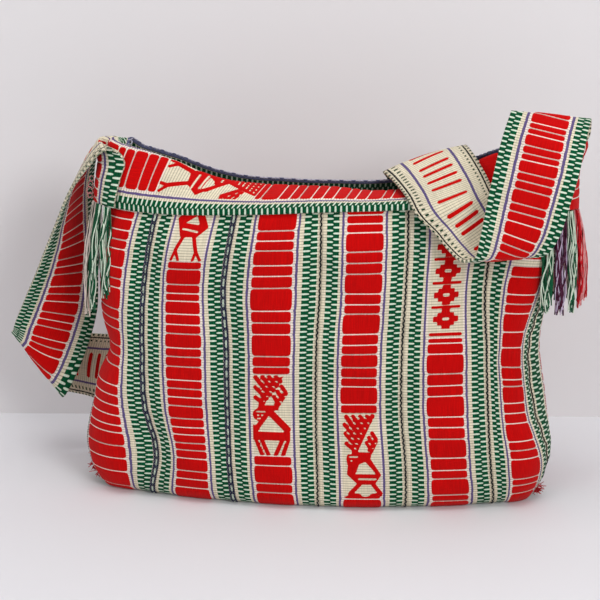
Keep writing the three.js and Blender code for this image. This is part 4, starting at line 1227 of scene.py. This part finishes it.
def yarn_tree():
    """Spins every line into yarn of its own thickness."""
    tree = node_tree("spun_yarn", (
        ("Thread radius", "NodeSocketFloat"), ("Sides", "NodeSocketInt"), ("Finish", "NodeSocketMaterial"),
    ))
    start = tree.nodes.new("NodeGroupInput")
    line, thick, spun, smooth, real, finish, end = chain(tree, (
        "GeometryNodeMeshToCurve", "GeometryNodeSetCurveRadius", "GeometryNodeCurveToMesh",
        "GeometryNodeSetShadeSmooth", "GeometryNodeRealizeInstances", "GeometryNodeSetMaterial",
        "NodeGroupOutput",
    ))
    section = tree.nodes.new("GeometryNodeCurvePrimitiveCircle")
    links = tree.links
    links.new(start.outputs["Geometry"], line.inputs[0])
    links.new(named(tree, "thick", "FLOAT"), thick.inputs["Radius"])
    links.new(start.outputs["Sides"], section.inputs["Resolution"])
    links.new(start.outputs["Thread radius"], section.inputs["Radius"])
    links.new(section.outputs["Curve"], spun.inputs["Profile Curve"])
    spun.inputs["Fill Caps"].default_value = True
    links.new(start.outputs["Finish"], finish.inputs["Material"])
    return tree


def loop_tree():
    """Sets a loop of yarn at every point, turned to the point's own directions."""
    tree = node_tree("looped_stitches", (
        ("Length", "NodeSocketFloat"), ("Width", "NodeSocketFloat"), ("Thread radius", "NodeSocketFloat"),
        ("Turn", "NodeSocketFloat"), ("Seed", "NodeSocketInt"), ("Finish", "NodeSocketMaterial"),
    ))
    start = tree.nodes.new("NodeGroupInput")
    place, turn, real, finish, end = chain(tree, (
        "GeometryNodeInstanceOnPoints", "GeometryNodeRotateInstances", "GeometryNodeRealizeInstances",
        "GeometryNodeSetMaterial", "NodeGroupOutput",
    ))
    ring, shaped, spun, smooth = chain(tree, (
        "GeometryNodeCurvePrimitiveCircle", "GeometryNodeTransform", "GeometryNodeCurveToMesh",
        "GeometryNodeSetShadeSmooth",
    ))
    section = tree.nodes.new("GeometryNodeCurvePrimitiveCircle")
    size = tree.nodes.new("ShaderNodeCombineXYZ")
    axes = tree.nodes.new("FunctionNodeAxesToRotation")
    stray = tree.nodes.new("FunctionNodeRandomValue")
    lean = tree.nodes.new("ShaderNodeCombineXYZ")
    less = tree.nodes.new("ShaderNodeMath")
    less.operation = "MULTIPLY"
    less.inputs[1].default_value = -1.0
    links = tree.links
    ring.inputs["Resolution"].default_value = LOOP_SIDES
    ring.inputs["Radius"].default_value = 0.5
    section.inputs["Resolution"].default_value = LOOP_SECTION
    axes.primary_axis = "X"
    axes.secondary_axis = "Z"
    links.new(start.outputs["Length"], size.inputs["X"])
    links.new(start.outputs["Width"], size.inputs["Y"])
    size.inputs["Z"].default_value = 1.0
    links.new(size.outputs[0], shaped.inputs["Scale"])
    links.new(start.outputs["Thread radius"], section.inputs["Radius"])
    links.new(section.outputs["Curve"], spun.inputs["Profile Curve"])
    links.new(start.outputs["Geometry"], place.inputs["Points"])
    links.new(smooth.outputs[0], place.inputs["Instance"])
    links.new(named(tree, "along", "FLOAT_VECTOR"), axes.inputs["Primary Axis"])
    links.new(named(tree, "outward", "FLOAT_VECTOR"), axes.inputs["Secondary Axis"])
    links.new(axes.outputs[0], place.inputs["Rotation"])
    links.new(start.outputs["Turn"], less.inputs[0])
    low, high = (next(s for s in stray.inputs if s.identifier == label) for label in ("Min_001", "Max_001"))
    links.new(less.outputs[0], low)
    links.new(start.outputs["Turn"], high)
    links.new(start.outputs["Seed"], stray.inputs["Seed"])
    links.new(next(s for s in stray.outputs if s.identifier == "Value_001"), lean.inputs["Z"])
    links.new(lean.outputs[0], turn.inputs["Rotation"])
    links.new(start.outputs["Finish"], finish.inputs["Material"])
    return tree


LOOP_SIDES = 8
LOOP_SECTION = 4
SPUN_YARN = yarn_tree()
LOOPED_STITCHES = loop_tree()


def run_tree(piece, tree, settings):
    """Makes a piece the plain mesh that a tree gives for it."""
    modifier = piece.modifiers.new("made", "NODES")
    modifier.node_group = tree
    for item in tree.interface.items_tree:
        if item.in_out == "INPUT" and item.name in settings:
            modifier[item.identifier] = settings[item.name]
    graph = bpy.context.evaluated_depsgraph_get()
    mesh = bpy.data.meshes.new_from_object(piece.evaluated_get(graph))
    piece.modifiers.remove(modifier)
    piece.data = mesh
    return piece


YARN_FLOOR = 1.6
TAPER_POINTS = 1.5
THIN_END = 0.35


def point_cloud(name, points, edges, values):
    mesh = bpy.data.meshes.new(name)
    placed = np.asarray(points) * MM + SHIFT
    placed[:, 2] = np.maximum(placed[:, 2], YARN_FLOOR * MM)
    mesh.from_pydata(placed.tolist(), edges, [])
    for label, data in values.items():
        data = np.asarray(data, np.float32)
        kind, field = ("FLOAT_VECTOR", "vector") if data.ndim == 2 else ("FLOAT", "value")
        mesh.attributes.new(label, kind, "POINT").data.foreach_set(field, data.ravel())
    piece = bpy.data.objects.new(name, mesh)
    bpy.context.scene.collection.objects.link(piece)
    return piece


def spin(name, lines, radius, sides, finish):
    """Yarn along lines. A line is its points, whether it closes, and its tint from 0 to 1."""
    points, edges, tints, thick = [], [], [], []
    for line, closed, tint in lines:
        first = len(points)
        count = len(line)
        points += list(line)
        edges += [(first + i, first + i + 1) for i in range(count - 1)]
        if closed:
            edges.append((first + count - 1, first))
        tints += [tint] * count
        from_end = np.minimum(np.arange(count), count - 1 - np.arange(count))
        ends = 1.0 if closed else np.clip(from_end / TAPER_POINTS, THIN_END, 1)
        thick += list(np.broadcast_to(ends, count))
    piece = point_cloud(name, points, edges, {"tint": tints, "thick": thick})
    return run_tree(piece, SPUN_YARN, {"Thread radius": radius * MM, "Sides": sides, "Finish": finish})


def stitch(name, points, along, outward, tints, size, turn, finish):
    """Loops of yarn at points: size is their length, width and thread radius."""
    piece = point_cloud(name, points, [], {"along": along, "outward": outward, "tint": tints})
    settings = {
        "Length": size[0] * MM, "Width": size[1] * MM, "Thread radius": size[2] * MM, "Turn": turn, "Seed": 3,
        "Finish": finish,
    }
    return run_tree(piece, LOOPED_STITCHES, settings)


def yarn_finish(name, first, second, fuzz=0.12):
    """Twisted yarn between two tints."""
    graph = Graph(name, 0.92, fuzz)
    objects = graph.add("ShaderNodeTexCoord").outputs["Object"]
    twist = graph.noise(objects, 1400.0)
    mottle = graph.noise(objects, 160.0)
    tint = graph.mix(graph.soft_step(graph.minus(graph.value("tint"), 0.5), 0.1), first, second)
    tint = graph.shade(tint, mottle, 0.78, 1.15)
    return graph.finish(tint, twist, 0.0002, 0.5)


seam_yarn = yarn_finish("seam_yarn", NAVY, DASH)
dark_yarn = yarn_finish("dark_yarn", BLACK, NAVY)
core_yarn = yarn_finish("core_yarn", CREAM, GREY)
crochet_yarn = yarn_finish("crochet_yarn", colour(88, 90, 120), colour(172, 168, 184))
FRINGE_FINISH = {
    "green": yarn_finish("green_yarn", colour(10, 84, 52), DASH),
    "cream": yarn_finish("cream_yarn", WHITE, colour(10, 84, 52)),
    "purple": yarn_finish("purple_yarn", colour(74, 22, 52), colour(190, 172, 196)),
    "red": yarn_finish("red_yarn", colour(186, 4, 22), colour(222, 150, 150)),
}

# Joints between the belts
CHAIN_STEP = 3.0
WHIP_STEP = 2.4
CHAIN_OFFSET = 1.7
CHAIN_LIFT = 0.75
CORE_RADIUS = 1.25
CORE_OFFSET = 0.8
CORE_DEPTH = 1.3
WHIP_LEAN = 0.45
DOUBLE_SEAMS = (1, 2)


def seam_frame(surface, lengths, offset, lift):
    """Points beside a seam, with the directions along it and out of the cloth."""
    def at(further, aside):
        return surface(lengths + further, (offset + aside) / BELT_WIDTH)
    along = unit(at(NUDGE, 0.0) - at(-NUDGE, 0.0))
    aside = at(0.0, NUDGE) - at(0.0, -NUDGE)
    outward = unit(np.cross(along, aside))
    return at(0.0, 0.0) + outward * lift, along, outward


def sew_joint(name, node, surface, run, double):
    """The yarn of one joint: a core that fills the gap and the stitches that show on it."""
    lengths = np.arange(0.5, run - 0.5, CHAIN_STEP / 2)
    core = [seam_frame(surface, lengths, side * CORE_OFFSET, -CORE_DEPTH)[0] for side in (-1, 1)]
    piece = spin(name + "_core", [(line, False, 0.0) for line in core], CORE_RADIUS, 6, core_yarn)
    sewn_in(piece, "stitching_thread", node)
    if double:
        rows = ((-CHAIN_OFFSET, 0.0), (CHAIN_OFFSET, 0.0), (0.0, 1.0))
    else:
        rows = ((0.0, 0.0),)
    parts = []
    for offset, tint in rows:
        at = np.arange(CHAIN_STEP, run - CHAIN_STEP, CHAIN_STEP if double else WHIP_STEP)
        point, along, outward = seam_frame(surface, at, offset, CHAIN_LIFT)
        if not double:
            side = np.where(np.arange(len(at)) % 2 == 0, WHIP_LEAN, -WHIP_LEAN)[:, None]
            along = along * np.cos(side) + np.cross(outward, along) * np.sin(side)
        parts.append((point, along, outward, tint * (np.arange(len(at)) % 3 > 0)))
    point, along, outward, tints = (np.concatenate(column) for column in zip(*parts))
    size = (3.3, 1.3, 0.4) if double else (2.8, 0.55, 0.42)
    finish = seam_yarn if double else dark_yarn
    sewn_in(stitch(name + "_stitches", point, along, outward, tints, size, 0.12, finish), "stitching_thread")


def make_joints():
    for seam in range(1, BELT_COUNT):
        def surface(lengths, aside, seam=seam):
            return belt_point(seam + aside, np.clip(lengths, 0, LOOP_RUN), fine=True)
        sew_joint(f"joint_{seam}", f"joint_{seam}", surface, LOOP_RUN, seam in DOUBLE_SEAMS)
    for side, place, node in (("left", 0.0, "side_joint_left"), ("right", BELT_COUNT, "side_joint_right")):
        top = float(seam_height(np.array(place))) + TOP_TUCK
        def surface(lengths, aside, place=place, top=top):
            return wall_point(place + aside, np.maximum(top - lengths, BASE_ROLL / 2), fine=True)
        sew_joint(f"side_{side}", node, surface, top - BASE_ROLL / 2, False)


# Crocheted edging: a chain along the collar's free edge and the loops that stand on it
EDGE_STEP = 3.6
EDGE_SIZE = (4.2, 4.2, 0.6)
EDGE_RISE = 1.7
EDGE_CORE = 1.7
EDGE_TURN = 0.25
FREE_EDGE = 3.0
NEAR_EDGE = 2.9
NEAR_ROLL = 1.9


def make_edging():
    girth = level(BODY_GIRTH, SEAM_HEIGHT) * BELT_WIDTH * ROUND
    places = np.arange(0, ROUND, EDGE_STEP / girth * ROUND)
    edge = collar_point(places, FREE_EDGE)
    flap = edge - collar_point(places, NEAR_EDGE)
    roll = edge - collar_point(places, NEAR_ROLL)
    away = unit(np.where(np.linalg.norm(flap, axis=-1, keepdims=True) > 1e-3, flap, roll))
    along = unit(np.roll(edge, -1, 0) - np.roll(edge, 1, 0))
    outward = unit(np.cross(along, away))
    middle = edge + away * CLEARANCE
    tints = (np.arange(len(places)) % 3 > 0).astype(float)
    core = spin("edging_chain", [(middle - outward * CLOTH / 2, True, 0.0)], EDGE_CORE, 6, crochet_yarn)
    sewn_in(core, "crochet_edging", "mouth_edging")
    point = middle - outward * CLOTH / 2 + away * EDGE_RISE
    loops = stitch("edging_loops", point, along, outward, tints, EDGE_SIZE, EDGE_TURN, crochet_yarn)
    sewn_in(loops, "crochet_edging")


# Fringe: the strap's loose warp ends. Place across the strap, how far it hangs out, share of the
# full length and colour of each lock
FRINGE_LENGTH = 96.0
FRINGE_RADIUS = 4.4
STRANDS = 30
STRAND_STEPS = 16
STRAND_RADIUS = 0.55
LEFT_FRINGE = (
    (0.1, 5, 0.85, "green"), (0.24, 9, 1.0, "green"), (0.38, 11, 1.1, "cream"), (0.54, 9, 0.7, "purple"),
    (0.74, 7, 0.9, "red"),
)
RIGHT_FRINGE = (
    (0.06, 3, 0.92, "green"), (0.17, 4, 0.94, "purple"), (0.28, 5, 0.92, "green"), (0.39, 7, 0.9, "red"),
    (0.5, 10, 0.86, "red"), (0.61, 11, 0.84, "red"), (0.74, 9, 0.88, "cream"), (0.88, 6, 0.88, "green"),
)


def lock_centre(station, lock, share):
    """Middle of a lock of loose threads at shares of its fall."""
    across, out, fall, _ = lock
    top = strap_point(np.array(station), np.array(across))
    ahead = strap_point(np.array(station), np.array(across + 0.02)) - top
    below = strap_point(np.array(station + (0.05 if station < 0 else -0.05)), np.array(across)) - top
    normal = np.cross(below, ahead)
    place = 0.0 if station < 0 else float(BELT_COUNT)
    middle = outline(place, SEAM_HEIGHT)[1]
    normal[2] = 0
    normal = unit(normal)
    if normal[:2] @ middle < 0:
        normal = -normal
    length = FRINGE_LENGTH * fall
    point = top + normal * (out * np.sin(share * math.pi / 2))[:, None]
    point[:, 2] -= 2 * CLEARANCE + length * share
    return point, normal


def make_lock(name, node, station, lock, random):
    share = np.linspace(0, 1, STRAND_STEPS)
    centre, normal = lock_centre(station, lock, share)
    side = np.cross(normal, np.array([0, 0, 1.0]))
    radius = FRINGE_RADIUS * mix(0.5, 1.0, np.sin(math.pi * np.minimum(share + 0.1, 1)))
    lines = []
    for _ in range(STRANDS):
        turn = random.uniform(0, 2 * math.pi)
        reach = math.sqrt(random.uniform(0.05, 1.0))
        waves = random.uniform(1.2, 2.6)
        phase = random.uniform(0, 2 * math.pi)
        spiral = turn + 1.4 * share + 0.4 * np.sin(waves * 2 * math.pi * share + phase)
        spread = radius * reach * (1 + 0.4 * share ** 2)
        stray = 1.5 * np.sin(waves * 2 * math.pi * share + phase) * share
        fall = random.uniform(0.84, 1.0)
        line = centre + normal * (spread * np.cos(spiral) * 0.8)[:, None]
        line = line + side * (spread * np.sin(spiral) * 1.25 + stray)[:, None]
        line[:, 2] = mix(centre[0, 2], line[:, 2], fall)
        lines.append((line, False, float(random.uniform(0, 1) > 0.6)))
    finish = FRINGE_FINISH[lock[3]]
    return sewn_in(spin(name, lines, STRAND_RADIUS, 5, finish), "loose_threads", node)


def make_fringe():
    random = np.random.default_rng(7)
    made = []
    ends = (("left", -SEWN_STEPS, LEFT_FRINGE), ("right", LAST_STATION + SEWN_STEPS, RIGHT_FRINGE))
    for side, station, locks in ends:
        for i, lock in enumerate(locks):
            name = f"{side}_tassel_{i + 1}"
            made.append(make_lock(f"{side}_fringe_{i + 1}", name, station, lock, random))
    return made


# Worn places: red yarn frayed at the bottom corners, and loops pulled out beside the strap's left end
FRAYS = ((0.1, 14.0, 8.0), (5.9, 8.0, 4.0))
FRAY_STRANDS = 60
FRAY_LENGTH = 3.6
PULLED_LOOPS = ((-3.6, 2.4), (-3.1, 3.2), (-2.5, 2.8), (-1.9, 2.4))
PULLED_ACROSS = 0.42
PULLED_RADIUS = 0.4
PULLED_POINTS = 14
PULLED_FLATTEN = 0.8
FRAY_RADIUS = 0.3
FRAY_POINTS = 5
FRAY_WANDER = 0.7
FRAY_CURL = 1.2
FRAY_ACROSS = 0.05


def make_frays():
    random = np.random.default_rng(11)
    lines = []
    for place, height, spread in FRAYS:
        for _ in range(FRAY_STRANDS):
            at = place + random.normal(0, FRAY_ACROSS)
            z = max(height + random.normal(0, spread / 2), BASE_ROLL / 2)
            foot = wall_point(at, z, fine=True)
            out = np.append(outline(at, z)[1], 0.0) + random.normal(0, FRAY_WANDER, 3)
            curl = random.normal(0, FRAY_CURL, 3)
            reach = random.uniform(0.4, 1.0) * FRAY_LENGTH
            share = np.linspace(0, 1, FRAY_POINTS)[:, None]
            lines.append((foot + out * reach * share + curl * share ** 2, False, 0.0))
    sewn_in(spin("corner_fray", lines, FRAY_RADIUS, 4, FRINGE_FINISH["red"]), "loose_threads")


def make_pulled_loops():
    lines = []
    turn = np.linspace(0, 2 * math.pi, PULLED_POINTS, endpoint=False)
    for station, radius in PULLED_LOOPS:
        foot = strap_point(np.array(station), np.array(PULLED_ACROSS))
        twist = 0.3 * np.sin(2 * turn + station)
        ring = np.stack([np.cos(turn) * PULLED_FLATTEN, twist, np.sin(turn)], -1) * radius
        lines.append((foot + ring - np.array([radius * PULLED_FLATTEN + CLOTH, CLOTH, 0]), True, 1.0))
    sewn_in(spin("pulled_loops", lines, PULLED_RADIUS, 4, FRINGE_FINISH["red"]), "loose_threads")


def camera_back():
    """Direction from the bag to the camera."""
    azimuth, elevation = math.radians(CAMERA_AZIMUTH), math.radians(CAMERA_ELEVATION)
    flat = math.cos(elevation)
    return Vector((math.sin(azimuth) * flat, -math.cos(azimuth) * flat, math.sin(elevation)))


def make_camera():
    back = camera_back()
    data = bpy.data.cameras.new("camera")
    data.sensor_width = SENSOR
    data.lens = CAMERA_FOCUS * SENSOR / PHOTO_WIDTH
    camera = bpy.data.objects.new("camera", data)
    bpy.context.scene.collection.objects.link(camera)
    target = Vector(CAMERA_TARGET) * MM + Vector(SHIFT)
    camera.location = target + back * CAMERA_DISTANCE * MM
    camera.rotation_mode = "QUATERNION"
    camera.rotation_quaternion = (-back).to_track_quat("-Z", "Y")
    bpy.context.scene.camera = camera


def on_table(x, y):
    """Where the table lies under a point of the photograph."""
    azimuth = math.radians(CAMERA_AZIMUTH)
    camera = bpy.context.scene.camera
    back = camera_back()
    right = Vector((math.cos(azimuth), math.sin(azimuth), 0.0))
    ray = right * (x - PHOTO_WIDTH / 2) - back.cross(right) * (y - PHOTO_WIDTH / 2) - back * CAMERA_FOCUS
    return camera.location - ray * (camera.location.z / ray.z)


def make_stage():
    def sheet(name, corners, tint, one_sided=False):
        mesh = bpy.data.meshes.new(name)
        mesh.from_pydata(corners, [], [(0, 1, 2, 3)])
        plane = bpy.data.objects.new(name, mesh)
        bpy.context.scene.collection.objects.link(plane)
        graph = Graph(name, 0.6, 0.0)
        graph.shader.inputs["Base Color"].default_value = tint
        if one_sided:
            back = graph.add("ShaderNodeNewGeometry").outputs["Backfacing"]
            clear = graph.add("ShaderNodeBsdfTransparent").outputs[0]
            blend = graph.add("ShaderNodeMixShader", {0: back, 1: graph.shader.outputs[0], 2: clear})
            output = next(node for node in graph.nodes if node.type == "OUTPUT_MATERIAL")
            graph.links.new(blend.outputs[0], output.inputs["Surface"])
        mesh.materials.append(graph.material)

    wide, tall = 6.0, 4.0
    floor = [(-wide, -wide, 0), (wide, -wide, 0), (wide, wide, 0), (-wide, wide, 0)]
    left, right = on_table(*CREASE_LEFT), on_table(*CREASE_RIGHT)
    reach = (right - left).normalized() * wide
    left, right = left - reach, right + reach
    up = Vector((0, 0, tall))
    sheet("table", floor, colour(226, 225, 228))
    sheet("backdrop", [left, right, right + up, left + up], colour(222, 219, 220), one_sided=True)


# Lamps in metres and watts: name, place, size, power and the point each is aimed at
LAMPS = (
    ("key_light", (1.3, -2.0, 1.25), (0.8, 0.8), 27, (0, 0, 0.15)),
    ("fill_light", (-1.3, -1.7, 1.0), (1.0, 1.0), 8, (0, 0, 0.15)),
    ("top_light", (0.1, -0.5, 1.9), (1.4, 0.9), 15, (0, 0.1, 0.1)),
)
SKY_TINT = (0.95, 0.96, 1.0, 1.0)
SKY_STRENGTH = 0.3


def make_lights():
    def lamp(name, place, size, power, aim):
        data = bpy.data.lights.new(name, "AREA")
        data.shape = "RECTANGLE"
        data.size, data.size_y = size
        data.energy = power
        light = bpy.data.objects.new(name, data)
        bpy.context.scene.collection.objects.link(light)
        light.location = place
        direction = Vector(aim) - Vector(place)
        light.rotation_euler = direction.to_track_quat("-Z", "Y").to_euler()

    for row in LAMPS:
        lamp(*row)
    world = bpy.data.worlds.new("studio")
    world.use_nodes = True
    background = world.node_tree.nodes["Background"]
    background.inputs[0].default_value = SKY_TINT
    background.inputs[1].default_value = SKY_STRENGTH
    bpy.context.scene.world = world


make_camera()
make_stage()
make_lights()
for belt in range(BELT_COUNT):
    make_belt(belt)
make_collar()
make_joints()
make_edging()
make_strap(make_fringe())
make_frays()
make_pulled_loops()

scene = bpy.context.scene
scene.view_settings.view_transform = "Standard"
